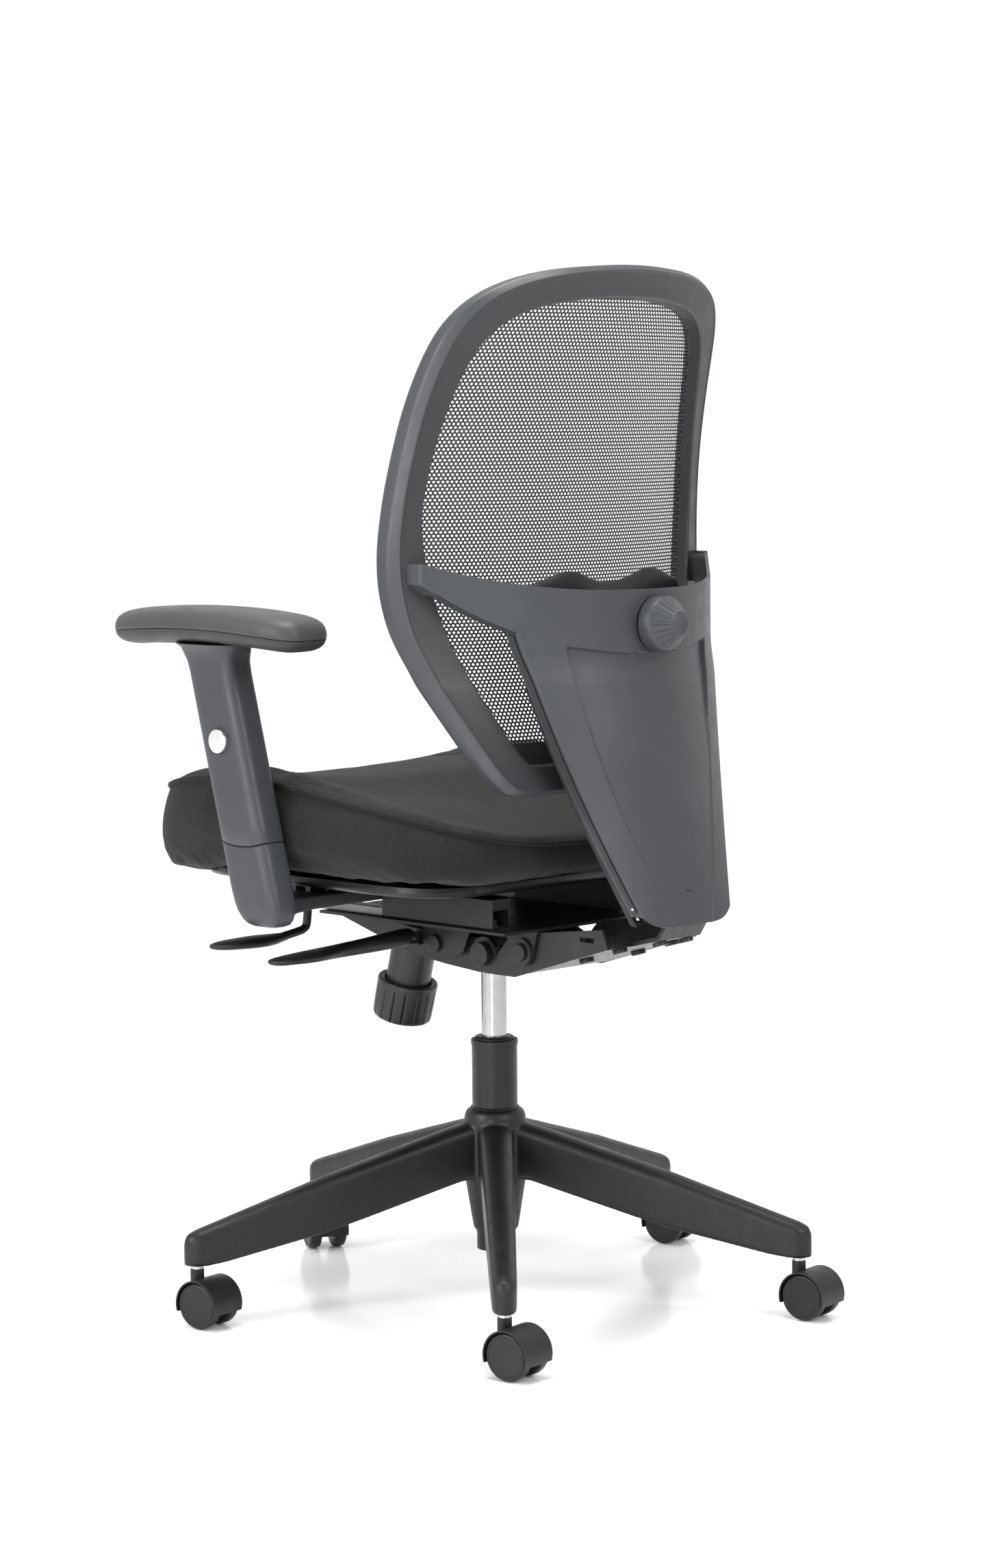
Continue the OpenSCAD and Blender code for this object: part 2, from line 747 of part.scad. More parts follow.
// Mesh panel: a curved sheet let into the frame's inner wall
module back_mesh() {
    rows = 16;
    cols = 12;
    depth = frame_depth - 9;
    function half_at(z) = 3 + max([for (k = [2:len(inner_half) - 3])
        let (a = inner_half[k], b = inner_half[k + 1])
            (z >= a[1] && z <= b[1]) ? mix(a[0], b[0], (z - a[1]) / (b[1] - a[1])) : 0]);
    function sheet_row(z, d) = [
        for (c = [0:cols]) let (x = half_at(z) * (2 * c / cols - 1)) [x, back_y(x, z) - d, z]
    ];
    function ring(z) = concat(
        sheet_row(z, depth),
        [for (c = [cols:-1:0]) sheet_row(z, depth - 1.5)[c]]
    );
    color(black_steel) loft(
        [for (r = [0:rows]) ring(mix(608.5, 1086.5, (1 - cos(180 * r / rows)) / 2))], strip = true);
}

// Outline of the shell's band in X and Z, upper edge and wing ends
function band_outline() = concat(
    [for (x = [-wing_x:10:wing_x]) [x, 788 + 31 * pow(abs(x) / wing_x, 3.2)]],
    [[wing_x, 797], [158, 747], [-158, 747], [-wing_x, 797]]
);

// Y of the band's rear face, which runs straight out to the wing ends beyond its round middle
function band_face(x) =
    let (round_w = min(abs(x), band_round_w))
    band_y + sqrt(band_r * band_r - round_w * round_w) - 0.95 * (abs(x) - round_w);

// The band from above, with the blocks at its ends that meet the frame
module band_plan() {
    polygon(concat(
        [for (x = [-wing_x:10:wing_x]) [x, band_face(x)]],
        [for (x = [wing_x:-10:-wing_x]) [x, band_face(x) - shell_t * (1 + abs(x) / 500)]]
    ));
    both_sides() polygon([
        [wing_x - 12, 96], [wing_x, 96], [wing_x, band_face(wing_x)],
        [wing_x - 12, band_face(wing_x - 12) - 2]
    ]);
}

// Height up the spine as a share, from its lower end to the band
function spine_share(z) = (z - spine_low_z) / (spine_high_z - spine_low_z);

// Half width of the spine at a height, and Y of its rear face at the edge and in the middle
function spine_half_w(z) = let (t = spine_share(z)) mix(64, 150, t) + 5 * sin(180 * t);
function spine_edge_y(z) = let (t = spine_share(z)) mix(290, 187, t) - 6 * sin(180 * t);
function spine_mid_y(z) = spine_edge_y(z) + mix(6, band_y + band_r - 187, spine_share(z));

// Section of the spine: its rear wall and two side walls, as one closed ring
function spine_ring(z, side_depth, t) =
    let (
        w = spine_half_w(z),
        e = spine_edge_y(z),
        m = spine_mid_y(z),
        outer = [for (c = [-4:4]) [w * c / 4, mix(m, e, pow(c / 4, 2)), z]],
        inner = [for (c = [4:-1:-4]) [(w - t) * c / 4, mix(m - t, e - t, pow(c / 4, 2)), z]]
    ) concat(
        [[-w, e - side_depth, z]], outer, [[w, e - side_depth, z], [w - t, e - side_depth, z]],
        inner, [[-w + t, e - side_depth, z]]
    );

module back_shell() {
    color(grey_plastic) difference() {
        union() {
            intersection() {
                translate([0, 0, 740]) linear_extrude(height = 100) band_plan();
                translate([0, 300, 0]) rotate([90, 0, 0]) linear_extrude(height = 300)
                    polygon(band_outline());
            }
            loft([for (k = [0:8]) spine_ring(mix(spine_low_z, spine_high_z, k / 8), 18, shell_t)],
                strip = true);
        }
        translate([0, 200, knob_z]) rotate([-90, 0, 0]) cylinder(h = 80, r = 7);
        translate([0, band_y + band_r - 0.3, knob_z]) rotate([-90, 0, 0])
            cylinder(h = 20, r = knob_d / 2 + 1);
    }
}

// Front wall of the spine, from the shell's lower end to the bottom of the frame's opening
module spine_cover() {
    low = spine_low_z + 1;
    high = 690;
    wall = 3;
    // Half of a section, from the middle out to the shell's side wall, t inside the outer face
    function half_ring(z, t) =
        let (
            w = spine_half_w(z) - 1 - t,
            e = spine_edge_y(z) - 18.5,
            d = mix(18, 6, (z - low) / (high - low)) - t
        ) [[w * 0.6, e - d, z], [w - 3, e - d * 0.6, z], [w, e, z]];
    function flip_x(p) = [-p[0], p[1], p[2]];
    function ring(z) =
        let (outer = half_ring(z, 0), inner = half_ring(z, wall)) concat(
            [for (k = [2:-1:0]) flip_x(inner[k])], inner,
            [for (k = [2:-1:0]) outer[k]], [for (k = [0:2]) flip_x(outer[k])]
        );
    color(dark_plastic) loft([for (k = [0:5]) ring(mix(low, high, k / 5))], strip = true);
}

module lumbar_knob() {
    ribs = 18;
    color(grey_plastic) translate([0, band_y + band_r + 0.4, knob_z]) rotate([-90, 0, 0]) difference() {
        rotate_extrude() polygon([
            [0, 0], [knob_d / 2, 0], [knob_d / 2, 15], [knob_d / 2 - 2, 18], [14, 34], [12, 36], [0, 36]
        ]);
        translate([0, 0, -1]) cylinder(h = 26, r = 5 + run_clearance);
        for (i = [0:ribs - 1]) rotate(i * 360 / ribs) translate([knob_d / 2 - 1, 0, 15])
            rotate([0, -45, 0]) cylinder(h = 18, r = 1.2);
    }
}

// Lumbar pad: a curved plate with a waved top edge
module lumbar_pad() {
    color(nylon) loft([
        for (c = [-8:8])
            let (
                x = pad_half_w * c / 8,
                y = 190 - x * x / (2 * back_curve_r),
                top = 806 + 7 * cos(x * 2.6),
                low = 694 + 30 * pow(abs(c / 8), 2)
            ) [
                [x, y - 6, low], [x, y - 12, low + 14], [x, y - 12, top - 14], [x, y - 6, top],
                [x, y + 2, top], [x, y + 2, low]
            ]
    ]);
}

module lumbar_screw() {
    color(zinc) translate([0, 192, knob_z]) rotate([-90, 0, 0]) union() {
        cylinder(h = 74, r = 5);
        cylinder(h = 4, r = 14);
    }
}

// ---------- nodes ----------

star_base();
column_tube();
column_bush();
caster_stems();
for (k = [1:arms]) {
    caster_hood(k);
    caster_axle(k);
    caster_wheel(k, 1);
    caster_wheel(k, -1);
}
piston_rod();
thrust_bearing();
gas_cylinder();
valve_pin();
mech_housing();
mech_bolts();
spring_boss();
tilt_spring();
lever_brackets();
tension_knob();
tilt_lever();
gas_lever();
back_arm();
back_arm_bolts();
rear_pins();
back_shell();
spine_cover();
back_frame();
back_mesh();
lumbar_knob();
lumbar_pad();
lumbar_screw();
seat_plate();
lower_rails();
upper_rails();
seat_pan();
seat_cushion();
slide_lever();
arm_base();  // left_arm_base
arm_sleeve();  // left_arm_sleeve
arm_pad();  // left_arm_pad
arm_button();  // left_arm_button
mirror([1, 0, 0]) arm_base();  // right_arm_base
mirror([1, 0, 0]) arm_sleeve();  // right_arm_sleeve
mirror([1, 0, 0]) arm_pad();  // right_arm_pad
mirror([1, 0, 0]) arm_button();  // right_arm_button
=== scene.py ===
"""Looks for the swivel task chair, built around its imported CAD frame.

Shapes are worked out in millimetres, in the frame of the CAD model: +Z up, the chair faces -Y, +X is
the sitter's left. mesh_object() turns them into metres.
"""

import json
import math

import bmesh
import bpy
from mathutils import Matrix, Vector, noise


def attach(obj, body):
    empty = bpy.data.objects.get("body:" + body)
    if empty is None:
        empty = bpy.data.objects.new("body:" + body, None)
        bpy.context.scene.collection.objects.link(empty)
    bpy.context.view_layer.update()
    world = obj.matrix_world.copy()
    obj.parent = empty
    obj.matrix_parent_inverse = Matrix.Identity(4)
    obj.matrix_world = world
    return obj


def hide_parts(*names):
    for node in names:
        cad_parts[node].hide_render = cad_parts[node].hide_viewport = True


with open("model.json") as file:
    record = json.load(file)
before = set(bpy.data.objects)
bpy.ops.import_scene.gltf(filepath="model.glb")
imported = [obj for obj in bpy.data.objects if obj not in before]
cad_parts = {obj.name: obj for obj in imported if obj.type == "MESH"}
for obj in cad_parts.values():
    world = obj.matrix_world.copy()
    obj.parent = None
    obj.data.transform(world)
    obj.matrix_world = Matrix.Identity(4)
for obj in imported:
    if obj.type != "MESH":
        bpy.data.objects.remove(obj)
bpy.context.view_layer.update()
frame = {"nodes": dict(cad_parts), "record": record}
MM = 0.001
SIDES = ((-1, "right"), (1, "left"))


# ---------- camera, floor and light ----------

CAMERA_DISTANCE = 4.0
CAMERA_HEIGHT = 0.9644
CAMERA_AZIMUTH = math.radians(45)
CAMERA_PITCH = math.radians(5.65)
CAMERA_ROLL = math.radians(-0.51)
CAMERA_LENS = 84.68
CAMERA_SENSOR = 36
CAMERA_SHIFT = 0.0015
WORLD_LIGHT = 1.05


def make_camera():
    data = bpy.data.cameras.new("camera")
    data.sensor_fit = "VERTICAL"
    data.sensor_height = CAMERA_SENSOR
    data.lens = CAMERA_LENS
    data.shift_x = CAMERA_SHIFT
    camera = bpy.data.objects.new("camera", data)
    bpy.context.scene.collection.objects.link(camera)
    c, s = math.cos(CAMERA_AZIMUTH), math.sin(CAMERA_AZIMUTH)
    camera.matrix_world = (
        Matrix.Translation((CAMERA_DISTANCE * c, CAMERA_DISTANCE * s, CAMERA_HEIGHT))
        @ Matrix.Rotation(CAMERA_AZIMUTH + math.pi / 2, 4, "Z")
        @ Matrix.Rotation(math.pi / 2 - CAMERA_PITCH, 4, "X")
        @ Matrix.Rotation(CAMERA_ROLL, 4, "Z")
    )
    bpy.context.scene.camera = camera


def area_light(name, place, aim, size, power):
    data = bpy.data.lights.new(name, "AREA")
    data.shape = "RECTANGLE"
    data.size, data.size_y = size
    data.energy = power
    light = bpy.data.objects.new(name, data)
    bpy.context.scene.collection.objects.link(light)
    light.location = place
    light.rotation_euler = (Vector(aim) - Vector(place)).to_track_quat("-Z", "Y").to_euler()


def make_studio():
    world = bpy.data.worlds.new("studio")
    world.use_nodes = True
    background = world.node_tree.nodes["Background"]
    background.inputs["Color"].default_value = (1, 1, 1, 1)
    background.inputs["Strength"].default_value = WORLD_LIGHT
    bpy.context.scene.world = world
    bpy.context.scene.view_settings.view_transform = "Standard"
    area_light("rear", (0.2, 3.4, 2.4), (0, 0, 0.7), (1.6, 1.6), 60)
    area_light("side", (3.3, -0.7, 1.7), (0, 0, 0.6), (0.9, 2.0), 85)
    area_light("top", (0.2, 0.0, 3.2), (0, 0, 0.4), (1.6, 1.6), 95)
    area_light("low", (2.6, 1.2, 0.5), (0, 0, 0.4), (0.8, 0.5), 14)


def make_floor():
    half = 9.0
    steps = 8
    verts = [
        (-half + 2 * half * i / steps, -half + 2 * half * j / steps, -0.0005)
        for i in range(steps + 1)
        for j in range(steps + 1)
    ]
    mesh = bpy.data.meshes.new("floor")
    mesh.from_pydata(verts, [], grid_faces(steps + 1, steps + 1))
    floor = bpy.data.objects.new("floor", mesh)
    bpy.context.scene.collection.objects.link(floor)
    material, shader = new_material("floor", (0.93, 0.93, 0.93), 0.16)
    shader.inputs["Specular IOR Level"].default_value = 0.5
    mesh.materials.append(material)


# ---------- materials ----------


def new_material(name, colour, rough, metallic=0.0):
    material = bpy.data.materials.new(name)
    material.use_nodes = True
    shader = material.node_tree.nodes["Principled BSDF"]
    shader.inputs["Base Color"].default_value = (*colour, 1)
    shader.inputs["Roughness"].default_value = rough
    shader.inputs["Metallic"].default_value = metallic
    return material, shader


class Nodes:
    """Short calls for adding shader nodes to one material."""

    def __init__(self, material):
        self.tree = material.node_tree
        self.place = self.add("ShaderNodeTexCoord").outputs["Object"]

    def add(self, kind, **values):
        node = self.tree.nodes.new(kind)
        for key, value in values.items():
            setattr(node, key, value)
        return node

    def link(self, a, b):
        self.tree.links.new(a, b)

    def noise(self, scale, detail=2.0, rough=0.5, stretch=None):
        node = self.add("ShaderNodeTexNoise")
        node.inputs["Scale"].default_value = scale
        node.inputs["Detail"].default_value = detail
        node.inputs["Roughness"].default_value = rough
        self.link(self.stretched(stretch), node.inputs["Vector"])
        return node.outputs["Fac"]

    def cells(self, scale, feature="F1", stretch=None):
        node = self.add("ShaderNodeTexVoronoi", feature=feature)
        node.inputs["Scale"].default_value = scale
        self.link(self.stretched(stretch), node.inputs["Vector"])
        return node.outputs["Distance"]

    def stretched(self, stretch):
        if stretch is None:
            return self.place
        node = self.add("ShaderNodeMapping")
        node.inputs["Scale"].default_value = stretch
        self.link(self.place, node.inputs["Vector"])
        return node.outputs["Vector"]

    def range(self, value, low, high, start=0.0, end=1.0):
        node = self.add("ShaderNodeMapRange")
        self.link(value, node.inputs["Value"])
        node.inputs["From Min"].default_value = start
        node.inputs["From Max"].default_value = end
        node.inputs["To Min"].default_value = low
        node.inputs["To Max"].default_value = high
        return node.outputs["Result"]

    def blend(self, value, a, b):
        node = self.add("ShaderNodeMix", data_type="RGBA")
        self.link(value, node.inputs["Factor"])
        node.inputs["A"].default_value = (*a, 1)
        node.inputs["B"].default_value = (*b, 1)
        return node.outputs["Result"]

    def math(self, operation, a, b):
        node = self.add("ShaderNodeMath", operation=operation)
        for socket, value in zip(node.inputs, (a, b)):
            if isinstance(value, (int, float)):
                socket.default_value = value
            else:
                self.link(value, socket)
        return node.outputs["Value"]

    def bump(self, height, strength, distance, shader, before=None):
        node = self.add("ShaderNodeBump")
        node.inputs["Strength"].default_value = strength
        node.inputs["Distance"].default_value = distance
        self.link(height, node.inputs["Height"])
        if before is not None:
            self.link(before, node.inputs["Normal"])
        self.link(node.outputs["Normal"], shader.inputs["Normal"])
        return node.outputs["Normal"]


def shade(colour, factor):
    return tuple(min(1.0, c * factor) for c in colour)


def moulded_plastic(name, colour, rough, grain=0.25, grain_scale=1500, mottle=0.10, rear=None):
    """Injection-moulded plastic: a fine spark texture, with slight unevenness in colour and gloss.

    Where rear is given, the face that looks to the rear is darker by that factor: painted shade.
    """
    material, shader = new_material(name, colour, rough)
    n = Nodes(material)
    cloud = n.noise(9, 3)
    tint = n.blend(n.range(cloud, 0, 1, 0.3, 0.7), shade(colour, 1 - mottle), shade(colour, 1 + mottle))
    # painted shade: faces that look to the rear get a darker colour
    if rear:
        facing = n.add("ShaderNodeSeparateXYZ")
        n.link(n.place.node.outputs["Normal"], facing.inputs["Vector"])
        painted_rear_shade = n.blend(n.range(facing.outputs["Y"], 0, 1, 0.55, 0.93), colour, shade(colour, rear))
        n.link(tint, painted_rear_shade.node.inputs["A"])
        tint = painted_rear_shade
    n.link(tint, shader.inputs["Base Color"])
    n.link(n.range(n.noise(55, 3), rough - 0.05, rough + 0.06, 0.3, 0.7), shader.inputs["Roughness"])
    n.bump(n.noise(grain_scale, 2), grain, 0.0002, shader)
    shader.inputs["Specular IOR Level"].default_value = 0.32
    return material


def steel(name, colour, rough, stretch, streak=0.10):
    """Drawn or turned steel: fine streaks along one direction and faint handling marks."""
    material, shader = new_material(name, colour, rough, 1.0)
    n = Nodes(material)
    lines = n.noise(70, 4, 0.6, stretch)
    n.link(n.range(lines, rough - streak, rough + streak, 0.3, 0.7), shader.inputs["Roughness"])
    marks = n.noise(38, 5, 0.7)
    tint = n.blend(n.range(marks, 0, 1, 0.35, 0.75), shade(colour, 0.82), shade(colour, 1.05))
    n.link(tint, shader.inputs["Base Color"])
    n.bump(lines, 0.08, 0.0002, shader)
    return material


def painted_steel(name, colour, rough):
    """Black powder coat: a faint orange peel, a little dust and worn gloss."""
    material, shader = new_material(name, colour, rough)
    n = Nodes(material)
    dust = n.range(n.noise(24, 3, 0.5), 0, 1, 0.55, 0.8)
    n.link(n.blend(dust, colour, shade(colour, 2.2)), shader.inputs["Base Color"])
    n.link(n.range(n.noise(120, 3), rough - 0.06, rough + 0.10, 0.3, 0.7), shader.inputs["Roughness"])
    n.bump(n.noise(160, 2), 0.03, 0.0003, shader)
    shader.inputs["Specular IOR Level"].default_value = 0.35
    return material


def seat_cloth(name, colour):
    """Dense crepe cloth: a fine weave, soft pebbling and slow changes of tone."""
    material, shader = new_material(name, colour, 0.88)
    n = Nodes(material)
    weave = n.cells(900)
    pebble = n.noise(260, 4, 0.65)
    slow = n.noise(14, 4)
    grain = n.math("ADD", n.range(weave, -0.3, 0.2, 0.0, 0.6), n.range(pebble, -0.3, 0.3, 0.35, 0.65))
    tone = n.math("ADD", grain, n.range(slow, 0.15, 0.85, 0.3, 0.7))
    n.link(n.blend(tone, shade(colour, 0.72), shade(colour, 1.38)), shader.inputs["Base Color"])
    first = n.bump(pebble, 0.55, 0.0022, shader)
    n.bump(weave, 0.5, 0.0006, shader, first)
    shader.inputs["Sheen Weight"].default_value = 0.05
    shader.inputs["Sheen Roughness"].default_value = 0.5
    shader.inputs["Specular IOR Level"].default_value = 0.2
    return material


def knitted_mesh(name, colour):
    """The threads of an open knit: small loops that catch the light."""
    material, shader = new_material(name, colour, 0.6)
    n = Nodes(material)
    loops = n.noise(1300, 3, 0.6, (1, 1, 1.8))
    n.link(n.blend(loops, shade(colour, 0.5), shade(colour, 2.2)), shader.inputs["Base Color"])
    n.bump(loops, 0.6, 0.0006, shader)
    return material


def make_materials():
    grey = (0.034, 0.037, 0.041)
    return {
        "shell": moulded_plastic("shell_plastic", grey, 0.40, 0.22, 1300),
        # the frame's rear face is painted darker: painted shade
        "frame": moulded_plastic("frame_plastic_painted_rear_shade", grey, 0.40, 0.22, 1300, rear=0.62),
        # a darker copy of the shell plastic, for parts in grooves, recesses and under the seat: painted
        # shade
        "shell_shaded": moulded_plastic("shell_painted_shade", shade(grey, 0.55), 0.5, 0.25, 1300),
        "pad": moulded_plastic("pad_skin", (0.034, 0.036, 0.037), 0.46, 0.35, 900),
        # the pad's underside: a darker copy of the pad skin, painted shade
        "pad_shaded_low": moulded_plastic("pad_underside_painted_shade", (0.020, 0.021, 0.022), 0.50, 0.35, 900),
        "nylon": moulded_plastic("black_nylon", (0.0055, 0.006, 0.0065), 0.40, 0.45, 800, 0.2),
        "hood": moulded_plastic("caster_nylon", (0.006, 0.0063, 0.007), 0.42, 0.45, 900, 0.2),
        "knob": moulded_plastic("knob_plastic", (0.013, 0.0135, 0.015), 0.36, 0.3, 900, 0.15),
        "paint": painted_steel("black_powder_coat", (0.008, 0.008, 0.009), 0.38),
        "pan": moulded_plastic("pan_plastic", (0.006, 0.006, 0.0065), 0.4, 0.3, 500, 0.2),
        "tube": steel("ground_steel", (0.42, 0.42, 0.43), 0.26, (1, 1, 0.05)),
        "zinc": steel("plated_steel", (0.60, 0.60, 0.62), 0.32, (0.08, 1, 1)),
        "rail": steel("rail_steel", (0.20, 0.20, 0.21), 0.36, (1, 0.08, 1)),
        "silver": steel("satin_chrome", (0.86, 0.86, 0.87), 0.24, (1, 0.2, 1), 0.04),
        "cloth": seat_cloth("seat_cloth", (0.0082, 0.0082, 0.007)),
        "piping": seat_cloth("piping_cloth", (0.006, 0.006, 0.0052)),
        "mesh": knitted_mesh("back_mesh", (0.007, 0.007, 0.0075)),
    }


# ---------- mesh helpers ----------


def mix(a, b, t):
    return a + (b - a) * t


def smooth(t):
    t = max(0.0, min(1.0, t))
    return t * t * (3 - 2 * t)


def grid_faces(rows, cols, close_rows=False, close_cols=False):
    """Quads over a grid of points stored row by row."""
    return [
        (
            i * cols + j,
            i * cols + (j + 1) % cols,
            (i + 1) % rows * cols + (j + 1) % cols,
            (i + 1) % rows * cols + j,
        )
        for i in range(rows if close_rows else rows - 1)
        for j in range(cols if close_cols else cols - 1)
    ]


def mesh_object(name, verts, faces, material, sharp=None):
    """A new object from points in millimetres. Edges sharper than sharp, in degrees, shade sharp."""
    mesh = bpy.data.meshes.new(name)
    mesh.from_pydata([tuple(c * MM for c in v) for v in verts], [], faces)
    mesh.validate()
    bm = bmesh.new()
    bm.from_mesh(mesh)
    bmesh.ops.recalc_face_normals(bm, faces=bm.faces)
    bm.to_mesh(mesh)
    bm.free()
    mesh.shade_smooth()
    if sharp is not None:
        mesh.set_sharp_from_angle(angle=math.radians(sharp))
    mesh.materials.append(material)
    obj = bpy.data.objects.new(name, mesh)
    bpy.context.scene.collection.objects.link(obj)
    return obj


def loft(name, rings, material, closed=False, caps=True, sharp=None):
    """Skin through rings of the same number of points, with flat caps or joined end to end."""
    n = len(rings[0])
    verts = [p for ring in rings for p in ring]
    faces = grid_faces(len(rings), n, close_rows=closed, close_cols=True)
    if caps and not closed:
        last = (len(rings) - 1) * n
        faces += [tuple(range(n)), tuple(last + j for j in range(n))]
    return mesh_object(name, verts, faces, material, sharp)


def lathe(name, profile, material, place, axis=(0, 0, 1), steps=64, ripple=None, sharp=35, ring=False):
    """Turned part: profile is a list of (radius, height along the axis). ripple(angle, radius, height)
    gives a change of radius, for ribs and flutes. A ring's profile closes on itself."""
    turn = Vector((0, 0, 1)).rotation_difference(Vector(axis)).to_matrix()
    verts = []
    for r, h in profile:
        for k in range(steps):
            a = 2 * math.pi * k / steps
            rr = r + (ripple(a, r, h) if ripple else 0)
            verts.append(Vector(place) + turn @ Vector((rr * math.cos(a), rr * math.sin(a), h)))
    faces = grid_faces(len(profile), steps, close_rows=ring, close_cols=True)
    if profile[0][0] > 0 and not ring:
        faces.append(tuple(range(steps)))
    if profile[-1][0] > 0 and not ring:
        faces.append(tuple((len(profile) - 1) * steps + k for k in range(steps)))
    return mesh_object(name, verts, faces, material, sharp)


def squircle(a, rx, ry, n):
    c, s = math.cos(a), math.sin(a)
    return (
        rx * math.copysign(abs(c) ** (2 / n), c),
        ry * math.copysign(abs(s) ** (2 / n), s),
    )


def curve_point(p0, p1, p2, p3, t):
    return [
        b + 0.5 * t * (c - a + t * (2 * a - 5 * b + 4 * c - d + t * (3 * b - a - 3 * c + d)))
        for a, b, c, d in zip(p0, p1, p2, p3)
    ]


def smooth_curve(points, steps, closed=False):
    """Catmull-Rom curve through points of any dimension."""
    n = len(points)
    out = []
    for i in range(n if closed else n - 1):
        near = (i - 1, i, i + 1, i + 2)
        four = [points[k % n] if closed else points[max(0, min(n - 1, k))] for k in near]
        out += [curve_point(*four, s / steps) for s in range(steps)]
    return out if closed else out + [list(points[-1])]


def tube(name, path, radius, material, closed=False, sides=10):
    """Round tube of one radius along a path in millimetres."""
    points = [Vector(p) for p in path]
    n = len(points)
    rings = []
    normal = None
    for i, p in enumerate(points):
        ahead = points[(i + 1) % n] if closed or i < n - 1 else p
        behind = points[i - 1] if closed or i else p
        tangent = (ahead - behind).normalized()
        if normal is None:
            normal = tangent.orthogonal().normalized()
        normal = (normal - tangent * normal.dot(tangent)).normalized()
        side = tangent.cross(normal)
        rings.append(
            [
                p + radius * (math.cos(a) * normal + math.sin(a) * side)
                for a in (2 * math.pi * k / sides for k in range(sides))
            ]
        )
    return loft(name, rings, material, closed=closed)


def modifier(obj, kind, **values):
    made = obj.modifiers.new(kind.lower(), kind)
    for key, value in values.items():
        setattr(made, key, value)
    return made


EDGE_ANGLE = 32


def bevel(obj, width, segments=2, angle=EDGE_ANGLE):
    limit = {"limit_method": "ANGLE", "angle_limit": math.radians(angle)}
    modifier(obj, "BEVEL", width=width * MM, segments=segments, **limit)
    modifier(obj, "WEIGHTED_NORMAL", keep_sharp=True)


def settle(obj, body, replaces=()):
    """Puts a piece on its body and hides the CAD nodes it stands for."""
    if replaces:
        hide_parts(*replaces)
    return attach(obj, body)


def refined(node, material, width):
    """Copy of a CAD node with welded points, rounded edges and smooth curved faces."""
    bm = bmesh.new()
    bm.from_mesh(frame["nodes"][node].data)
    bmesh.ops.remove_doubles(bm, verts=bm.verts, dist=2e-5)
    bmesh.ops.dissolve_limit(bm, angle_limit=math.radians(0.6), verts=bm.verts, edges=bm.edges)
    bmesh.ops.recalc_face_normals(bm, faces=bm.faces)
    mesh = bpy.data.meshes.new(node + "_shaped")
    bm.to_mesh(mesh)
    bm.free()
    mesh.shade_smooth()
    mesh.set_sharp_from_angle(angle=math.radians(EDGE_ANGLE))
    mesh.materials.clear()
    mesh.materials.append(material)
    obj = bpy.data.objects.new(mesh.name, mesh)
    bpy.context.scene.collection.objects.link(obj)
    bevel(obj, width)
    record = frame["record"]
    body = next(body for body, nodes in record["behaviour"]["bodies"].items() if node in nodes)
    return settle(obj, body, [node])


# ---------- back ----------

BACK_FRONT_Y = 152
BACK_WAIST_Z = 825
FRAME_DEPTH = 28
MESH_DEPTH = 18.2


def back_y(x, z):
    """Y of the rear surface of the back."""
    bend = 1 - 0.0052 * max(0, 690 - z)
    return BACK_FRONT_Y + 0.0008 * (z - BACK_WAIST_Z) ** 2 - x * x / 900 * bend


OUTER_HALF = [
    (0, 577), (76, 577), (146, 578), (163, 587), (175, 607), (192, 652), (209, 700), (225, 744),
    (232, 785), (233, 825), (229, 875), (223, 930), (217, 980), (208, 1028), (196, 1062),
    (175, 1088), (144, 1105), (104, 1115), (54, 1120), (0, 1122),
]
INNER_HALF = [
    (0, 608), (62, 608), (113, 608), (126, 613), (134, 626), (148, 660), (162, 694), (178, 732),
    (192, 780), (200, 825), (203, 868), (198, 915), (190, 962), (178, 1010), (164, 1042),
    (142, 1064), (112, 1077), (78, 1083), (40, 1087), (0, 1088),
]


def mirror_loop(half):
    return half + [(-x, z) for x, z in half[-2:0:-1]]


def rounded(corners, steps=4):
    """Closed polyline through corners given as (a, b, radius), each rounded by a quadratic curve."""
    out = []
    n = len(corners)
    for i, (a, b, r) in enumerate(corners):
        here = Vector((a, b))
        before = Vector(corners[i - 1][:2]) - here
        after = Vector(corners[(i + 1) % n][:2]) - here
        start = here + before * min(0.49, r / before.length)
        end = here + after * min(0.49, r / after.length)
        for k in range(steps + 1):
            t = k / steps
            out.append((1 - t) ** 2 * start + 2 * t * (1 - t) * here + t * t * end)
    return out


def make_back_frame(m):
    steps = 7
    outer = smooth_curve(mirror_loop(OUTER_HALF), steps, closed=True)
    inner = smooth_curve(mirror_loop(INNER_HALF), steps, closed=True)
    rings = []
    for (ox, oz), (ix, iz) in zip(outer, inner):
        w = math.hypot(ix - ox, iz - oz)
        section = rounded(
            [
                (w, -FRAME_DEPTH + 3, 3), (w * 0.07, -FRAME_DEPTH, 3), (0, -FRAME_DEPTH + 6, 4),
                (0, -8, 2.5), (w * 0.17, 1.8, 1.6), (w * 0.2, 2.0, 0.8), (w * 0.215, 0.9, 0.5),
                (w * 0.6, 0.2, 6), (w - 1.5, 0.0, 1.5), (w, -2.0, 1.5),
            ]
        )
        ring = []
        for a, b in section:
            x, z = mix(ox, ix, a / w), mix(oz, iz, a / w)
            ring.append((x, back_y(x, z) + b, z))
        rings.append(ring)
    piece = loft("back_frame_moulding", rings, m["frame"], closed=True, sharp=38)
    settle(piece, "back", ["back_frame"])


def inside_loop(x, z, loop):
    hit = False
    for (ax, az), (bx, bz) in zip(loop, loop[1:] + loop[:1]):
        if (az > z) != (bz > z) and x < (bx - ax) * (z - az) / (bz - az) + ax:
            hit = not hit
    return hit


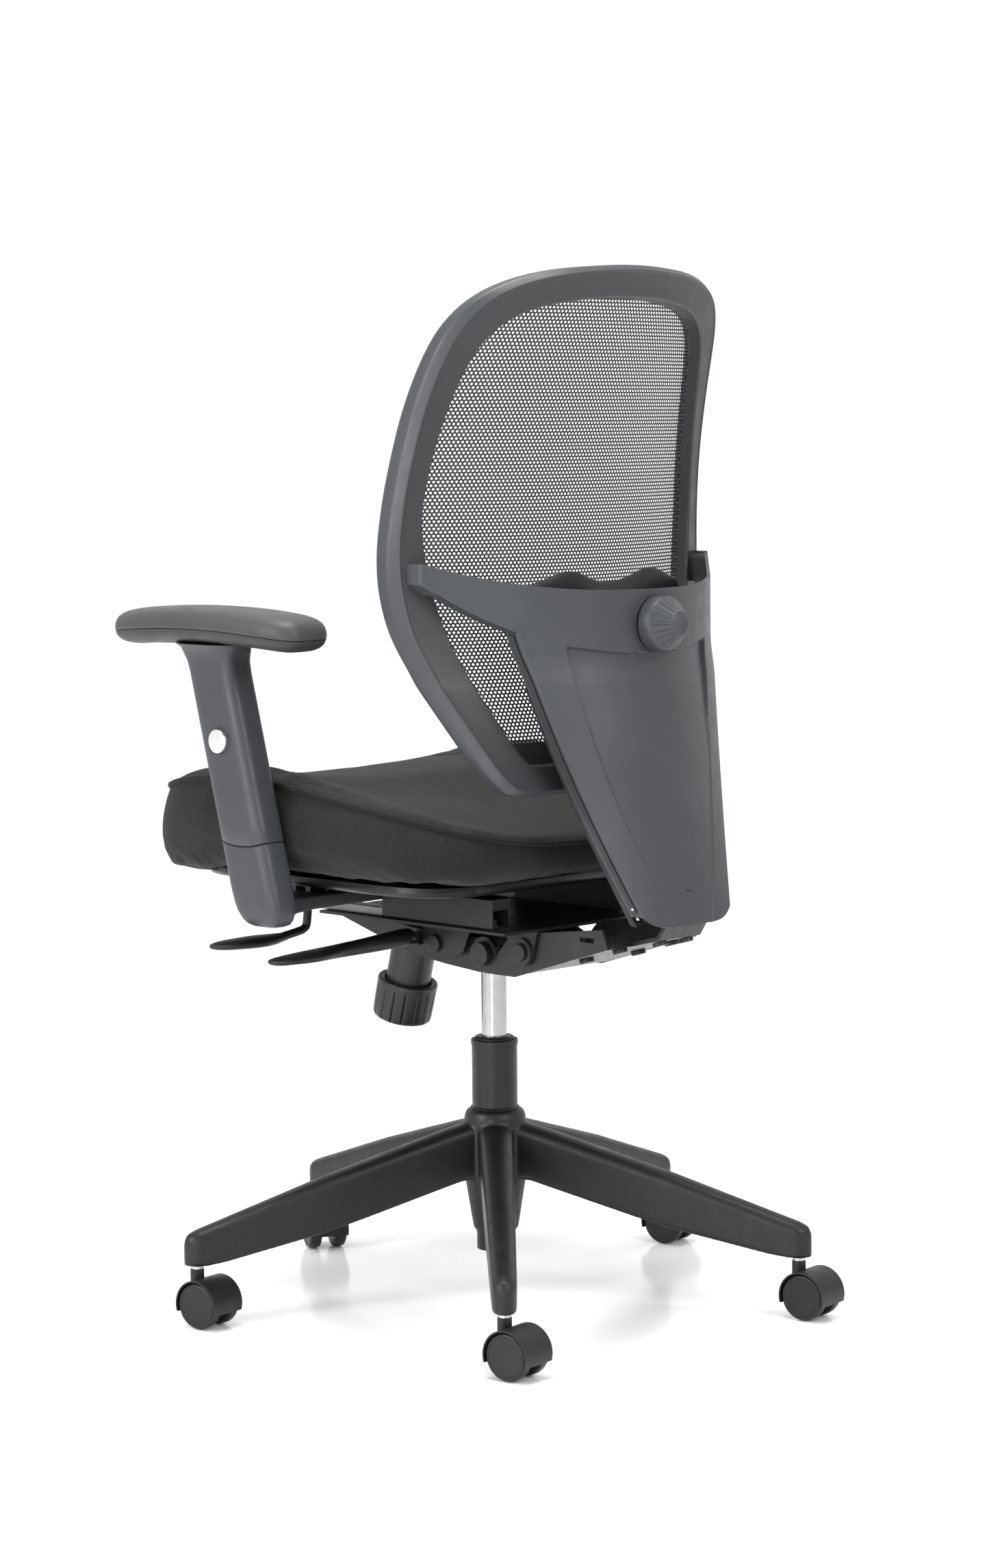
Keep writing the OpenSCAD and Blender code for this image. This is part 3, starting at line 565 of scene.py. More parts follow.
def make_back_mesh(m):
    """Knitted mesh as one sheet of hexagonal cells, each round a hole."""
    pitch, row = 4.8, 3.7
    low, high, half = 604.5, 1093, 212
    hole, squash = 1.55, 0.92
    margin = 4
    loop = [
        (x + math.copysign(margin, x) if abs(x) > 1 else x, z + (margin if z > 850 else -margin))
        for x, z in smooth_curve(mirror_loop(INNER_HALF), 3, closed=True)
    ]
    tip, flank = 0.667, 0.333
    corners = [(0, tip), (0.5, flank), (0.5, -flank), (0, -tip), (-0.5, -flank), (-0.5, flank)]
    index, verts, faces = {}, [], []

    def point(key, x, z):
        if key not in index:
            index[key] = len(verts)
            verts.append((x, back_y(x, z) - MESH_DEPTH, z))
        return index[key]

    rows, cols = int((high - low) / row), int(half / pitch)
    for r in range(rows):
        z = low + r * row
        for c in range(-cols, cols + 1):
            x = (c + (0.5 if r % 2 else 0)) * pitch
            if not inside_loop(x, z, loop):
                continue
            rim, ring = [], []
            for k, (u, v) in enumerate(corners):
                cx, cz = x + u * pitch, z + v * row
                rim.append(point((round(cx * 5), round(cz * 5)), cx, cz))
                a = math.radians(90 - 60 * k)
                ring.append(point((r, c, k), x + hole * math.cos(a), z + hole * math.sin(a) * squash))
            for k in range(6):
                q = (k + 1) % 6
                faces.append((rim[k], rim[q], ring[q], ring[k]))
    sheet = mesh_object("back_mesh_knit", verts, faces, m["mesh"])
    settle(sheet, "back", ["back_mesh"])


def make_mesh_hem(m):
    """Solid sewn strip along the bottom edge of the mesh."""
    rows, cols = 4, 40
    verts = []
    for i in range(rows + 1):
        z = mix(604, 628, i / rows)
        half = mix(128, 142, i / rows)
        for j in range(cols + 1):
            x = mix(-half, half, j / cols)
            verts.append((x, back_y(x, z) - MESH_DEPTH - 0.4, z))
    hem = mesh_object("back_mesh_hem", verts, grid_faces(rows + 1, cols + 1), m["mesh"])
    modifier(hem, "SOLIDIFY", thickness=0.6 * MM)
    settle(hem, "back")


# ---------- shell and lumbar ----------

BAND_Y = 16
BAND_R = 226
BAND_ROUND = 150
WING_X = 220
SPINE_LOW = 441
SPINE_HIGH = 747
KNOB_Z = 752
LUMBAR_Y = 184
LUMBAR_HALF = 128


def spine_share(z):
    return (z - SPINE_LOW) / (SPINE_HIGH - SPINE_LOW)


def spine_half(z):
    t = spine_share(z)
    return mix(64, 150, t) + 5 * math.sin(math.pi * max(0, min(1, t)))


def spine_y(x, z):
    """Y of the shell's rear face."""
    t = spine_share(z)
    edge = mix(290, 187, t) - 6 * math.sin(math.pi * max(0, min(1, t)))
    mid = edge + mix(6, BAND_Y + BAND_R - 187, t)
    y = mix(mid, edge, (x / spine_half(min(z, SPINE_HIGH))) ** 2)
    if z > 690:
        y = mix(y, band_face(x), smooth((z - 690) / 50))
    return y


def band_face(x):
    """Y of the band's rear face, which runs out straight to the wing ends."""
    x = abs(x)
    near = min(x, BAND_ROUND)
    return BAND_Y + math.sqrt(BAND_R**2 - near * near) - 0.95 * (x - near)


def band_rim(x):
    return 788 + 31 * (abs(x) / WING_X) ** 3.2


def oriented(obj, outward):
    """Turns an open piece's faces over if they face away from the direction given."""
    mesh = obj.data
    if sum(p.normal.dot(Vector(outward)) * p.area for p in mesh.polygons) < 0:
        mesh.flip_normals()
    return obj


def panel_half(z):
    t = max(0.0, min(1.0, (z - 440) / 285))
    return mix(30, 106, t) + 9 * math.sin(math.pi * t)


def panel_recess(x, z):
    """Depth of the recessed panel in the rear of the spine."""
    top = 735 - 13 * math.cos(min(1.2, abs(x) / 100) * 1.3)
    side = smooth((panel_half(z) - abs(x)) / 2.4)
    ceiling = smooth((top - z) / 2.8)
    return mix(1.1, 5.2, smooth((z - 600) / 120)) * side * ceiling


def make_back_shell(m):
    """Rear skin with its side walls turned forward, thickened inward."""
    cols, spine_rows, band_rows = 180, 280, 44
    walls = [
        (0, 0), (0.6, -0.3), (1.0, -1.2), (1.0, -3.8), (0.1, -4.2), (0.1, -13.0), (1.0, -13.5),
        (1.0, -18.0),
    ]
    rows = []
    for i in range(spine_rows + band_rows + 1):
        t = max(0, (i - spine_rows) / band_rows)
        row = []
        for j in range(1, cols):
            s = -1 + 2 * j / cols
            if t:
                half = mix(spine_half(SPINE_HIGH), WING_X - 1, min(1, t / 0.72))
                x = s * half
                z = mix(SPINE_HIGH, band_rim(x), t)
            else:
                z = mix(SPINE_LOW + 13 * abs(s) ** 6, SPINE_HIGH, i / spine_rows)
                x = s * (spine_half(z) - 1)
            row.append((x, spine_y(x, z) - panel_recess(x, z), z))
        for side in (-1, 1):
            x, y, z = row[-1] if side > 0 else row[0]
            edge = [(x + side * a, y + b, z) for a, b in walls]
            row = row + edge if side > 0 else edge[::-1] + row
        rows.append(row)
    verts = [p for row in rows for p in row]
    shell = mesh_object("back_shell_moulding", verts, grid_faces(len(rows), len(rows[0])), m["shell"])
    oriented(shell, (0, 1, 0))
    modifier(shell, "SOLIDIFY", thickness=3.6 * MM, offset=-1)
    shell.data.set_sharp_from_angle(angle=math.radians(40))
    bevel(shell, 0.7, 2, 50)
    settle(shell, "back", ["back_shell"])
    for side, word in SIDES:
        plan = [
            (WING_X - 16, 97), (WING_X - 0.2, 97), (WING_X - 0.2, band_face(WING_X) - 0.4),
            (WING_X - 2, band_face(WING_X - 2) + 0.2), (WING_X - 16, band_face(WING_X - 16) - 1.5),
        ]
        rings = []
        for share in (0.0, 1.0):
            ring = []
            for x, y in plan:
                low = 797.2 - max(0, WING_X - x) * 0.8
                ring.append((side * x, y, mix(low, band_rim(x) - 0.4, share)))
            rings.append(ring)
        block = loft(f"wing_block_{word}", rings, m["shell"], sharp=30)
        bevel(block, 1.6, 3)
        settle(block, "back")


def make_leg_strips(m):
    """Inset strip that runs down each side wall of the spine, with two small screws at its foot."""
    for side, word in SIDES:
        rings = []
        for i in range(61):
            z = mix(458, 744, i / 60)
            x = side * (spine_half(z) - 0.2)
            y = spine_y(x, z)
            rings.append(
                [
                    (x - side * 0.8, y - 4.9, z), (x + side * 0.4, y - 5.3, z),
                    (x + side * 0.4, y - 12.2, z), (x - side * 0.8, y - 12.6, z),
                ]
            )
        # the strip's darker colour is painted shade in the groove
        strip = loft(f"leg_strip_{word}", rings, m["shell_shaded"], sharp=30)
        settle(strip, "back")
        for k, z in enumerate((452, 462)):
            x = side * (spine_half(z) - 0.6)
            place = (x, spine_y(x, z) - 8.5, z)
            head = lathe(
                f"leg_screw_{word}_{k}", [(0, 0), (1.7, 0), (1.7, 1.1), (1.3, 1.5), (0, 1.5)], m["zinc"],
                place, (side, 0, 0), 20,
            )
            settle(head, "back")


def make_lumbar(m):
    place = (0, BAND_Y + BAND_R + 0.4, KNOB_Z)
    ribs = 18

    def ripple(a, r, h):
        inside = smooth((h - 15) / 3) * smooth((35 - h) / 3)
        return -1.1 * inside * max(0, math.cos(ribs * a)) ** 6

    profile = [
        (0, 0), (27, 0), (28.6, 1.2), (29, 3), (29, 14), (28.4, 16), (27, 17.6), (24.5, 20.5),
        (20, 26), (16, 31), (14.2, 33.6), (13.4, 35), (12.4, 35.7), (11, 36), (10.4, 35.6), (0, 35.4),
    ]
    knob = lathe("lumbar_knob_turned", profile, m["shell"], place, (0, 1, 0), 180, ripple)
    settle(knob, "lumbar_knob", ["lumbar_knob"])
    profile = [(29.6, -6), (31, -6), (31.2, -1.4), (30.4, -0.4), (29.6, -0.6)]
    # the collar's darker colour is painted shade round the knob
    collar = lathe("lumbar_collar", profile, m["shell_shaded"], place, (0, 1, 0), 96, ring=True)
    settle(collar, "back")
    steps, rings = 44, []
    for c in range(-steps, steps + 1):
        u = c / steps
        x = LUMBAR_HALF * u
        y = LUMBAR_Y - x * x / 900
        top = 793 + 13.5 * math.exp(-(((abs(x) - 62) / 33) ** 2)) - 22 * smooth((abs(u) - 0.82) / 0.18)
        low = 694 + 34 * u * u + 14 * smooth((abs(u) - 0.8) / 0.2)
        scoop = 7 * math.exp(-((x / 42) ** 2))
        section = rounded(
            [
                (-5, low, 4), (-11, low + 14, 8), (-11 - scoop * 0.3, top - 16, 8), (-6 - scoop, top, 3),
                (2 - scoop, top, 3), (2, top - 18, 6), (2, low, 3),
            ],
            3,
        )
        rings.append([(x, y + a, z) for a, z in section])
    pad = loft("lumbar_pad_shaped", rings, m["nylon"], sharp=45)
    settle(pad, "lumbar", ["lumbar_pad"])
    refined("lumbar_screw", m["zinc"], 0.6)


# ---------- seat ----------

SEAT_HALF = 246
SEAT_FRONT = -324
SEAT_BACK = 164


def edge_z(y):
    return 592 - (0.0006 * (y + 110) ** 2 if y < -110 else 0.127 * (y + 110))


def seat_top(x, y):
    dish = 22 + 0.055 * (y + 80)
    return edge_z(y) - dish * (1 - (x / SEAT_HALF) ** 2) - 0.003 * max(0, -280 - y) ** 2


def bolster(x, y):
    """Extra height of the padded side bolsters."""
    side = math.exp(-(((abs(x) - 206) / 24) ** 2)) * smooth((y + 300) / 80) * smooth((180 - y) / 60)
    return 7 * side


def seat_under(y):
    """Height of the cushion's lower edge, which drops at the front."""
    return mix(486, 473, smooth((-150 - y) / 130))


def seat_ring(inset, share, n=6, count=260):
    """Ring of the cushion, inset from its widest, at a share of the height from lower edge to welt."""
    mid = (SEAT_FRONT + SEAT_BACK) / 2
    half = (SEAT_BACK - SEAT_FRONT) / 2
    ring = []
    for k in range(count):
        px, py = squircle(2 * math.pi * k / count, SEAT_HALF - inset, half - inset, n)
        y = py + mid
        crown = bolster(px, y) * smooth((inset - 9) / 12)
        ring.append((px, y, mix(seat_under(y), seat_top(px, y) - 5, share) + crown))
    return ring


def simulate(obj, frames=14, cap=3.0, pressure=3.0):
    """Blows the cushion up as sewn cloth for a moment, then keeps the result within cap mm."""
    before = [v.co.copy() for v in obj.data.vertices]
    cloth = modifier(obj, "CLOTH")
    settings = cloth.settings
    settings.use_pressure = True
    settings.uniform_pressure_force = pressure
    settings.effector_weights.gravity = 0
    settings.tension_stiffness = 25
    settings.compression_stiffness = 25
    settings.bending_stiffness = 1.5
    cloth.collision_settings.use_collision = False
    scene = bpy.context.scene
    for step in range(1, frames + 1):
        scene.frame_set(step)
    depsgraph = bpy.context.evaluated_depsgraph_get()
    after = [v.co.copy() for v in obj.evaluated_get(depsgraph).data.vertices]
    obj.modifiers.remove(cloth)
    scene.frame_set(1)
    for vertex, a, b in zip(obj.data.vertices, before, after):
        move = b - a
        if move.length > cap * MM:
            move *= cap * MM / move.length
        vertex.co = a + move


def make_seat_cushion(m):
    under = [(70, 0.0), (30, -0.02), (19, -0.01), (12, 0.03), (7, 0.1)]
    wall = [
        (3.5, 0.2), (1.2, 0.32), (0.4, 0.45), (0.6, 0.58), (1.8, 0.7), (3.6, 0.81), (6.2, 0.92),
        (8.5, 0.985), (12, 1.03), (17, 1.055), (24, 1.06), (34, 1.055), (46, 1.05), (60, 1.045),
    ]
    crown = [(78, 5), (100, 4.5), (125, 4), (155, 3.5), (185, 3), (215, 2.5), (238, 2)]
    rings = [seat_ring(inset, share) for inset, share in under + wall]
    rings += [seat_ring(inset, 1.045, n) for inset, n in crown]
    cushion = loft("seat_cushion_sewn", rings, m["cloth"])
    modifier(cushion, "REMESH", mode="VOXEL", voxel_size=5 * MM, use_smooth_shade=True)
    modifier(cushion, "SMOOTH", factor=0.5, iterations=4)
    apply_modifiers(cushion)
    simulate(cushion)
    sew_details(cushion)
    modifier(cushion, "SUBSURF", levels=1, render_levels=1)
    settle(cushion, "seat", ["seat_cushion"])
    make_piping(m, cushion)


def apply_modifiers(obj):
    depsgraph = bpy.context.evaluated_depsgraph_get()
    mesh = bpy.data.meshes.new_from_object(obj.evaluated_get(depsgraph))
    obj.modifiers.clear()
    obj.data = mesh
    mesh.shade_smooth()


def seam_x(y):
    """Half width of the inner seam on the seat's top."""
    return 168 + 22 * smooth((y + 60) / 200) - 10 * smooth((-150 - y) / 120)


def sew_details(obj):
    """Presses the seams in and raises wrinkles, by small moves of the cushion's points."""
    moved = []
    for vertex in obj.data.vertices:
        x, y, z = (c / MM for c in vertex.co)
        top = seat_top(x, y)
        drop = 0.0
        if z > top - 22 and -275 < y < 152 and abs(x) < 225:
            gap = abs(abs(x) - seam_x(y))
            drop = 3.0 * math.exp(-((gap / 4.0) ** 2)) + 2.4 * math.exp(-((gap / 16) ** 2))
            drop *= smooth((y + 275) / 40) * smooth((152 - y) / 30)
        at_edge = min(SEAT_HALF - abs(x), y - SEAT_FRONT) < 22
        rim = max(0.0, 1 - abs(z - (top - 6)) / 12) if at_edge else 0.0
        sway = noise.noise(Vector((x, y, z)) / 60) * 1.0 * (1 - rim)
        low = smooth((520 - z) / 34) * smooth((-170 - y) / 60)
        fold = noise.noise(Vector((x / 30, y / 12, z / 8))) * 3.4 * low
        hem = smooth((503 - z) / 14) * (1 - low)
        fold += noise.noise(Vector((x / 22, y / 22, z / 40))) * 1.6 * hem
        moved.append(vertex.co + vertex.normal * ((sway + fold) * MM) - Vector((0, 0, drop * MM)))
    for vertex, place in zip(obj.data.vertices, moved):
        vertex.co = place


def make_piping(m, cushion):
    """Welt cords round the top edge of the seat and beside the inner seams."""
    depsgraph = bpy.context.evaluated_depsgraph_get()
    body = cushion.evaluated_get(depsgraph)

    def on_surface(p, out=0.6):
        ok, place, normal, _ = body.closest_point_on_mesh(Vector(p) * MM)
        return (place + normal * out * MM) / MM if ok else Vector(p)

    ring = [on_surface(p, 1.8) for p in seat_ring(8.0, 1.0, count=320)]
    cord = tube("seat_piping", ring, 3.1, m["piping"], closed=True, sides=8)
    settle(cord, "seat")
    for side, word in SIDES:
        path = []
        for k in range(61):
            y = mix(-262, 146, k / 60)
            x = side * seam_x(y)
            path.append(on_surface((x, y, seat_top(x, y) + 20), -0.4))
        seam = tube(f"seat_seam_{word}", path, 0.9, m["piping"], sides=6)
        settle(seam, "seat")


# ---------- arms ----------

ARM_X = 269
POST_L = 70
POST_W = 40
SLEEVE_Z = 525
BUTTON_Z = 629


def post_y(z):
    return -75 - (z - 472) * 0.27


def post_ring(z, half_l, half_w, side, n=4.2, count=64, sag=0.0):
    """Ring of the leaning post. sag lowers it in the middle of its broad faces."""
    ring = []
    for k in range(count):
        a = 2 * math.pi * k / count
        px, py = squircle(a, half_w, half_l, n)
        zz = z - sag * (1 - (py / half_l) ** 2)
        ring.append((side * (ARM_X + px), post_y(zz) + py, zz))
    return ring


def make_arm(m, side, word):
    half_l, half_w = POST_L / 2, POST_W / 2
    levels = [
        (434, 12, 6), (434.6, 18, 10), (437, 24.5, 13.5), (442, 29, 16.3), (450, 32.6, 18.4),
        (460, 34.3, 19.5), (475, half_l, half_w), (500, half_l, half_w),
    ]
    rings = [post_ring(z, a, b, side) for z, a, b in levels]
    for dz, inset, sag in ((-2.6, 0, 5), (-1.6, 1, 5), (-1.4, 5, 4)):
        rings.append(post_ring(SLEEVE_Z + dz, half_l - inset, half_w - inset, side, sag=sag))
    cup = loft(f"{word}_arm_cup", rings, m["shell"], sharp=40)
    settle(cup, "seat", [f"{word}_arm_base"])
    rings = [post_ring(z, 21.8, 10.8, side) for z in (505, 600, 699)]
    slide = loft(f"{word}_arm_slide", rings, m["nylon"], sharp=40)
    settle(slide, "seat")
    make_arm_bar(m, side, word)
    rings = []
    for dz, inset, sag in ((4, 4, 4), (-0.2, 3, 5), (-0.6, 0.8, 5), (0.4, 0, 5), (15, 0, 2)):
        rings.append(post_ring(SLEEVE_Z + dz, half_l - inset, half_w - inset, side, sag=sag))
    rings += [post_ring(z, half_l, half_w, side) for z in (560, 600, 640, 680, 700)]
    flare = [(712, 0.8, 0.5, 4.2), (720, 3, 2.2, 4.2), (726, 7.5, 5.5, 2.9), (730, 14, 9, 2.7)]
    for z, more_l, more_w, n in flare:
        rings.append(post_ring(z, half_l + more_l, half_w + more_w, side, n))
    sleeve = loft(f"{word}_arm_sleeve_shaped", rings, m["shell"], sharp=50)
    settle(sleeve, f"{word}_arm", [f"{word}_arm_sleeve"])
    make_pad(m, side, word)
    make_button(m, side, word)


def make_arm_bar(m, side, word):
    """Bracket that carries the arm under the seat, swept into the cup by a fillet."""
    rings = []
    for x, half, low, high in (
        (104, 27, 448, 461.5), (150, 27, 447.5, 461.5), (158, 27, 447.5, 461.5), (190, 27, 447.2, 461.6),
        (201, 27, 447, 461.7), (210, 27, 447, 461.8), (236, 27.5, 445, 462),
        (247, 28.5, 441, 465), (254, 30, 437, 472), (262, 31, 436, 480),
    ):
        front = -half if not 150 < x < 200 else -6
        section = rounded([(front, low, 3), (half, low, 3), (half, high, 3), (front, high, 3)], 3)
        rings.append([(side * x, -84 + a, b) for a, b in section])
    # the bar's darker colour is painted shade under the seat
    bar = loft(f"{word}_arm_bar", rings, m["shell_shaded"], sharp=45)
    settle(bar, "seat")


def pad_ring(z, inset, side, count=96, shift=0.0):
    ring = []
    for k in range(count):
        a = 2 * math.pi * k / count
        px, py = squircle(a, 43 - inset, 145 - inset, 4.2)
        y = py - 143 + shift
        ring.append((side * (ARM_X - 4 + px), y, z - 0.0004 * (y + 150) ** 2))
    return ring


def make_pad(m, side, word):
    seam = 747
    low = [
        (731.2, 34), (731.0, 27), (732, 20), (734, 12), (737, 6.5), (740.5, 3), (744, 1.2),
        (seam - 0.6, 0.6), (seam, 1.4),
    ]
    high = [
        (seam, 1.4), (seam + 0.6, 0.3), (751, 0.0), (755, 0.4), (759, 1.6), (762.5, 4), (765.5, 8),
        (767.6, 13.5), (768.8, 20), (769.6, 28), (770, 36), (770, 41.5),
    ]
    # the lower part takes the darker copy of the pad skin: painted shade
    under = loft(f"{word}_arm_pad_under", [pad_ring(z, i, side) for z, i in low], m["pad_shaded_low"], sharp=60)
    settle(under, f"{word}_arm", [f"{word}_arm_pad"])
    top = loft(f"{word}_arm_pad_top", [pad_ring(z, i, side) for z, i in high], m["pad"], sharp=60)
    settle(top, f"{word}_arm")


def make_button(m, side, word):
    place = (side * (ARM_X + POST_W / 2), post_y(BUTTON_Z) + 2, BUTTON_Z)
    axis = (side, 0, 0)
    face = lathe(
        f"{word}_button_face",
        [(0, -4), (12.4, -4), (12.9, 1.5), (12.9, 5.0), (12.5, 6.0), (11.8, 6.6), (10.8, 6.8), (0, 6.8)],
        m["silver"], place, axis, 72,
    )
    settle(face, f"{word}_button", [f"{word}_arm_button"])
    profile = [(13.3, -6), (15.2, -1), (15.6, 0.1), (15.0, 0.9), (13.8, 1.0), (13.2, 0.2), (13.1, -6)]
    ring = lathe(f"{word}_button_ring", profile, m["shell"], place, axis, 72, ring=True)
    settle(ring, f"{word}_arm")


# ---------- base and casters ----------

FIRST_ARM = math.radians(46.3)
STEM_CIRCLE = 340
HUB_TOP = 212


def arm_top(x):
    stations = [(16, 202), (40, 196), (60, 190.5), (200, 149), (340, 102.5), (350, 98), (354, 90)]
    for (x0, z0), (x1, z1) in zip(stations, stations[1:]):
        if x <= x1:
            return mix(z0, z1, (x - x0) / (x1 - x0))
    return stations[-1][1]


def arm_low(x):
    if x < 190:
        return mix(136, 92, max(0, (x - 40) / 150))
    return mix(92, 64.5, (x - 190) / 132) if x < 322 else 64.3


def make_base(m):
    """Hub and five blade arms, fused and softened like one moulding."""
    parts = []
    for i in range(5):
        turn = Matrix.Rotation(FIRST_ARM + i * math.radians(72), 3, "Z")
        rings = []
        stops = [16, 30, 45, 60, 90, 120, 160, 200, 240, 280, 310, 330, 340, 346, 350, 352.6, 353.8]
        for x in stops:
            half = mix(19.2, 13.2, x / STEM_CIRCLE)
            over = max(0, x - 338) / 16
            half *= math.sqrt(max(0.06, 1 - over**2))
            low, top = arm_low(x), arm_top(x)
            section = []
            for k in range(9):
                a = math.pi * k / 8
                section.append((half * math.cos(a), top - 10 + 10 * math.sin(a)))
            foot = [(0.96, low + 2.5), (0.86, low)]
            section += [(-half * a, b) for a, b in foot] + [(half * a, b) for a, b in foot[::-1]]
            rings.append([turn @ Vector((x, a, b)) for a, b in section])
        parts.append(loft(f"arm_{i}", rings, m["nylon"]))
    hub = [
        (0, 76), (22, 76), (24, 77), (25.4, 83), (29.4, 108), (33.2, 131), (34, 150), (34.4, 196),
        (33.6, 204), (31.6, 209), (28.6, 211.6), (0, HUB_TOP),
    ]
    parts.append(lathe("hub", hub, m["nylon"], (0, 0, 0), steps=96))
    base = join("star_base_moulding", parts)
    modifier(base, "REMESH", mode="VOXEL", voxel_size=1.7 * MM, use_smooth_shade=True)
    modifier(base, "SMOOTH", factor=0.5, iterations=9)
    apply_modifiers(base)
    settle(base, "base", ["star_base"])


def join(name, parts):
    bm = bmesh.new()
    for part in parts:
        bm.from_mesh(part.data)
    mesh = bpy.data.meshes.new(name)
    bm.to_mesh(mesh)
    bm.free()
    mesh.materials.append(parts[0].data.materials[0])
    obj = bpy.data.objects.new(name, mesh)
    bpy.context.scene.collection.objects.link(obj)
    for part in parts:
        bpy.data.objects.remove(part)
    return obj


def make_column(m):
    for node, key, width in (
        ("column_tube", "nylon", 0.5), ("column_bush", "nylon", 0.4), ("gas_cylinder", "tube", 0.4),
        ("piston_rod", "tube", 0.3), ("thrust_bearing", "zinc", 0.4), ("valve_pin", "zinc", 0.4),
        ("caster_stems", "tube", 0.4),
    ):
        refined(node, m[key], width)
    for name, key, profile in (
        (
            "column_collar", "nylon",
            [(25.1, 282.5), (25.8, 282.7), (25.9, 287.6), (25.3, 288.4), (24.4, 288.6)],
        ),
        (
            "hub_gland", "pan",
            [(25.2, 210.6), (26.6, 210.6), (27.4, 212.2), (26.6, 213.6), (25.2, 214.4)],
        ),
    ):
        ring = lathe(name, profile, m[key], (0, 0, 0), steps=96, ring=True)
        settle(ring, "base")


def wheel_joints():
    """The joints of the ten wheels, as the record states them."""
    for joint in frame["record"]["behaviour"]["joints"]:
        if joint["name"].endswith("_roll"):
            yield joint


def make_casters(m):
    """Wheels with a rolled rim round a slightly dished disc, and their hoods."""
    width = 15
    gap = 8
    for joint in wheel_joints():
        k, letter = joint["name"][6], joint["name"][7]
        side = 1 if letter == "a" else -1
        axis = Vector(joint["axis"]) * side
        place = Vector(joint["pos_m"]) / MM + axis * gap
        profile = [
            (0, 0), (22.5, 0), (24.0, 0.5), (24.8, 1.6), (25, 3), (25, width - 5), (24.6, width - 3.4),
            (23.8, width - 2.2), (22.8, width - 1.5), (21.6, width - 1.2), (20.8, width - 1.3),
            (20.2, width - 1.9), (19.4, width - 2.0), (12, width - 1.5), (6, width - 1.1),
            (0, width - 1.0),
        ]
        wheel = lathe(f"wheel_{k}{letter}_disc", profile, m["hood"], place, axis, 72)
        settle(wheel, f"wheel_{k}{letter}", [f"caster_{k}_wheel_{letter}"])
    for k in range(1, 6):
        refined(f"caster_{k}_hood", m["hood"], 0.7)
        refined(f"caster_{k}_axle", m["tube"], 0.4)


# ---------- mechanism and levers ----------


def make_mechanism(m):
    for node in ("mech_housing", "seat_plate", "back_arm", "lever_brackets", "back_arm_bolts"):
        refined(node, m["paint"], 0.7)
    refined("mech_bolts", m["paint"], 0.8)
    refined("rear_pins", m["paint"], 0.8)
    refined("lower_rails", m["rail"], 0.8)
    refined("upper_rails", m["paint"], 0.6)
    make_pan(m)
    refined("spring_boss", m["knob"], 0.8)
    refined("tilt_spring", m["tube"], 0.5)
    # the cover's darker colour is painted shade
    refined("spine_cover", m["shell_shaded"], 1.2)


def make_pan(m):
    """Shallow seat pan, set in from the cushion's edge, with the lugs of the depth lever's hinge."""
    levels = [
        (479.6, 206, 202), (474, 207, 203), (470, 204, 200), (466.5, 190, 186), (464, 160, 166),
        (462.2, 140, 150),
    ]
    rings = []
    for z, half_w, half_l in levels:
        rings.append(
            [
                (px, py - 80, z)
                for px, py in (squircle(2 * math.pi * k / 120, half_w, half_l, 6) for k in range(120))
            ]
        )
    pan = loft("seat_pan_pressed", rings, m["pan"], sharp=50)
    settle(pan, "seat", ["seat_pan"])
    for k, y in enumerate((-126, -102.4)):
        end = y + 9.4
        rings = [[(162, y, z), (184, y, z), (184, end, z), (162, end, z)] for z in (446.4, 471)]
        lug = loft(f"lever_lug_{k}", rings, m["pan"], sharp=30)
        bevel(lug, 1.2)
        settle(lug, "seat")


def make_tension_knob(m):
    tilt = math.radians(15)
    axis = Vector((0, math.sin(tilt), math.cos(tilt)))
    place = Vector((0, -124, 384)) - axis * 91
    ribs = 16

    def ripple(a, r, h):
        if r < 30:
            return 0
        return -1.7 * smooth((40 - h) / 4) * max(0, math.cos(ribs * a)) ** 14

    profile = [
        (0, 2.0), (20, 2.0), (22, 1.0), (24, 0), (28.5, 0), (31, 1.2), (32.6, 3.2), (33.2, 6),
        (33.6, 20), (33.8, 36), (33.9, 41), (34, 43), (33.4, 45.4), (31.8, 46.2), (28, 46),
        (26.8, 45), (26.8, 30), (7, 30),
    ]
    knob = lathe("tension_knob_fluted", profile, m["knob"], place, axis, 256, ripple, 40)
    settle(knob, "tension_knob", ["tension_knob"])


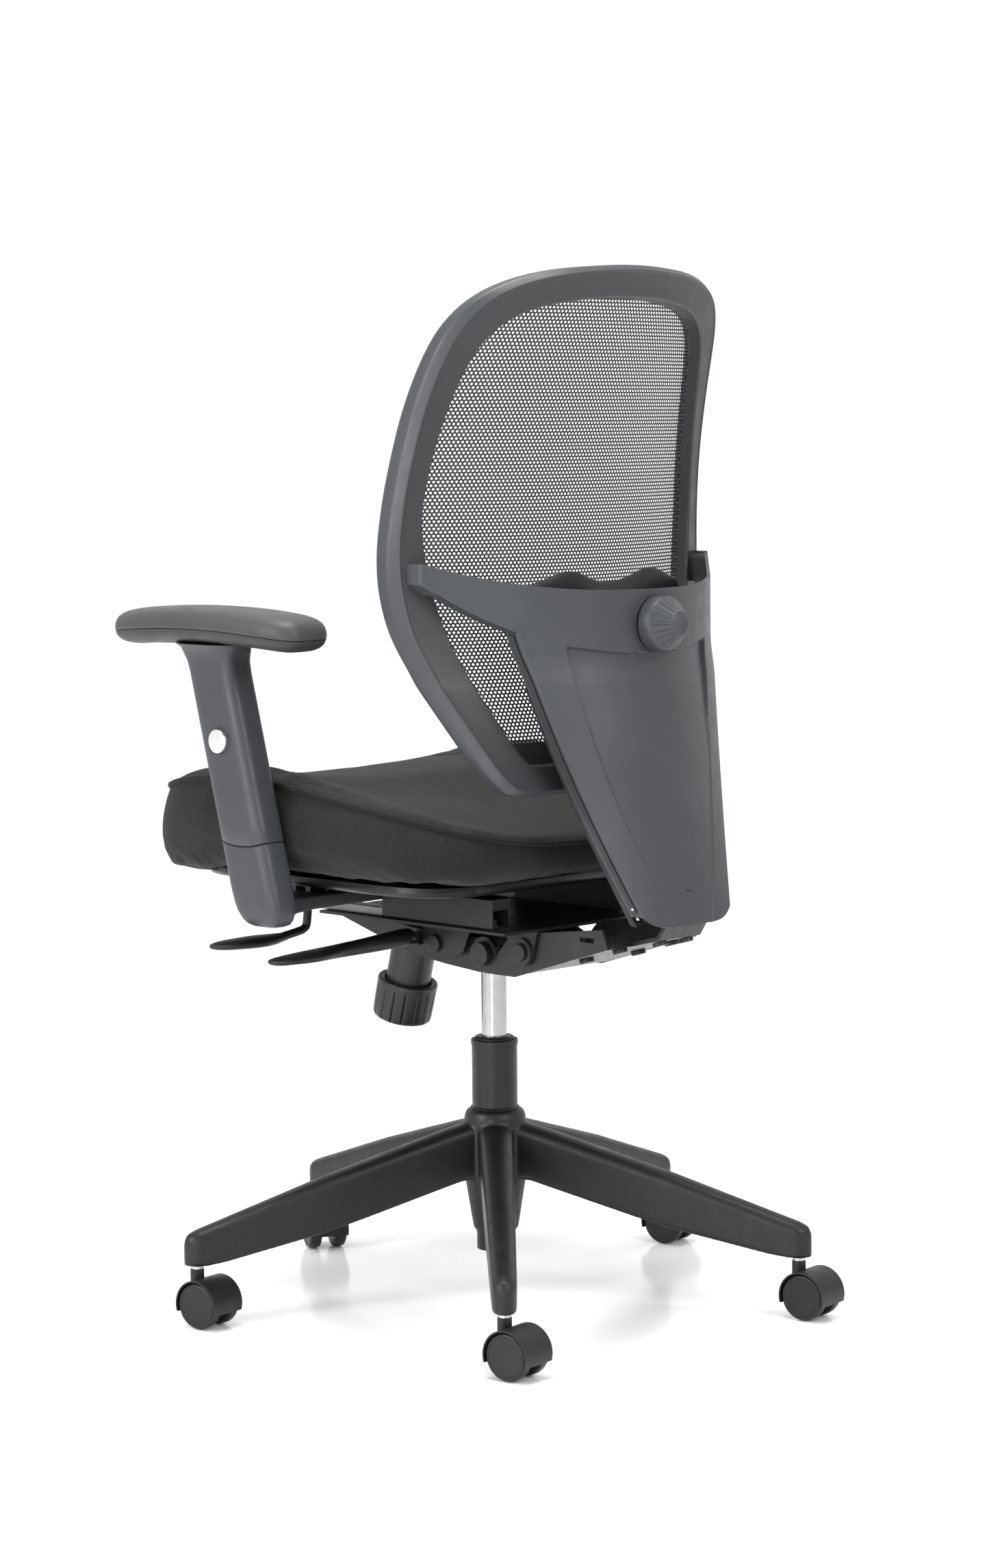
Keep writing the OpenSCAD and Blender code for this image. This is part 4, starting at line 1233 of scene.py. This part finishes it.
def paddle(name, stations, y, side, material):
    """Lever swept through stations of (x, z, half width, half height)."""
    rings = []
    for x, z, half, thick in smooth_curve(stations, 6):
        ring = []
        for k in range(28):
            a, b = squircle(2 * math.pi * k / 28, half, thick, 2.4)
            ring.append((side * x, y + a, z + b))
        rings.append(ring)
    return loft(name, rings, material)


def make_levers(m):
    stations = [
        (80, 406, 4, 4), (82, 406, 8, 8), (90, 405, 10, 9.6), (120, 403.5, 9.6, 9),
        (150, 402, 8.6, 8.2), (178, 401, 8.2, 7.6), (196, 400.3, 11, 7), (214, 399.6, 15, 6.4),
        (230, 399, 16.6, 6), (252, 398.6, 16, 5), (268, 398.3, 14, 4.2), (278, 398.2, 10, 3.2),
        (281.5, 398.2, 5, 2),
    ]
    for side, node in ((1, "tilt_lever"), (-1, "gas_lever")):
        piece = paddle(f"{node}_paddle", stations, -48, side, m["nylon"])
        settle(piece, node, [node])
    y = -109.7
    bends = [(173, 455), (173.4, 445), (175.5, 424), (180, 418.5), (190, 416), (226, 411)]
    path = smooth_curve([(x, y, z) for x, z in bends], 6)
    rod = tube("slide_lever_rod", path, 4.6, m["nylon"], sides=16)
    settle(rod, "slide_lever", ["slide_lever"])
    grip = paddle(
        "slide_lever_grip",
        [
            (206, 413.2, 4.4, 4.4), (214, 412.4, 6.5, 5), (228, 411.6, 12, 6), (246, 411.6, 16.4, 6.3),
            (270, 411.8, 16.6, 5.8), (292, 412, 14.4, 4.8), (305, 412, 10, 3.4), (310, 412, 4, 1.8),
        ],
        y, 1, m["nylon"],
    )
    settle(grip, "slide_lever")


# ---------- build ----------

make_camera()
make_studio()
make_floor()
materials = make_materials()
make_back_frame(materials)
make_back_mesh(materials)
make_mesh_hem(materials)
make_back_shell(materials)
make_leg_strips(materials)
make_lumbar(materials)
make_seat_cushion(materials)
make_arm(materials, 1, "left")
make_arm(materials, -1, "right")
make_base(materials)
make_column(materials)
make_casters(materials)
make_mechanism(materials)
make_tension_knob(materials)
make_levers(materials)
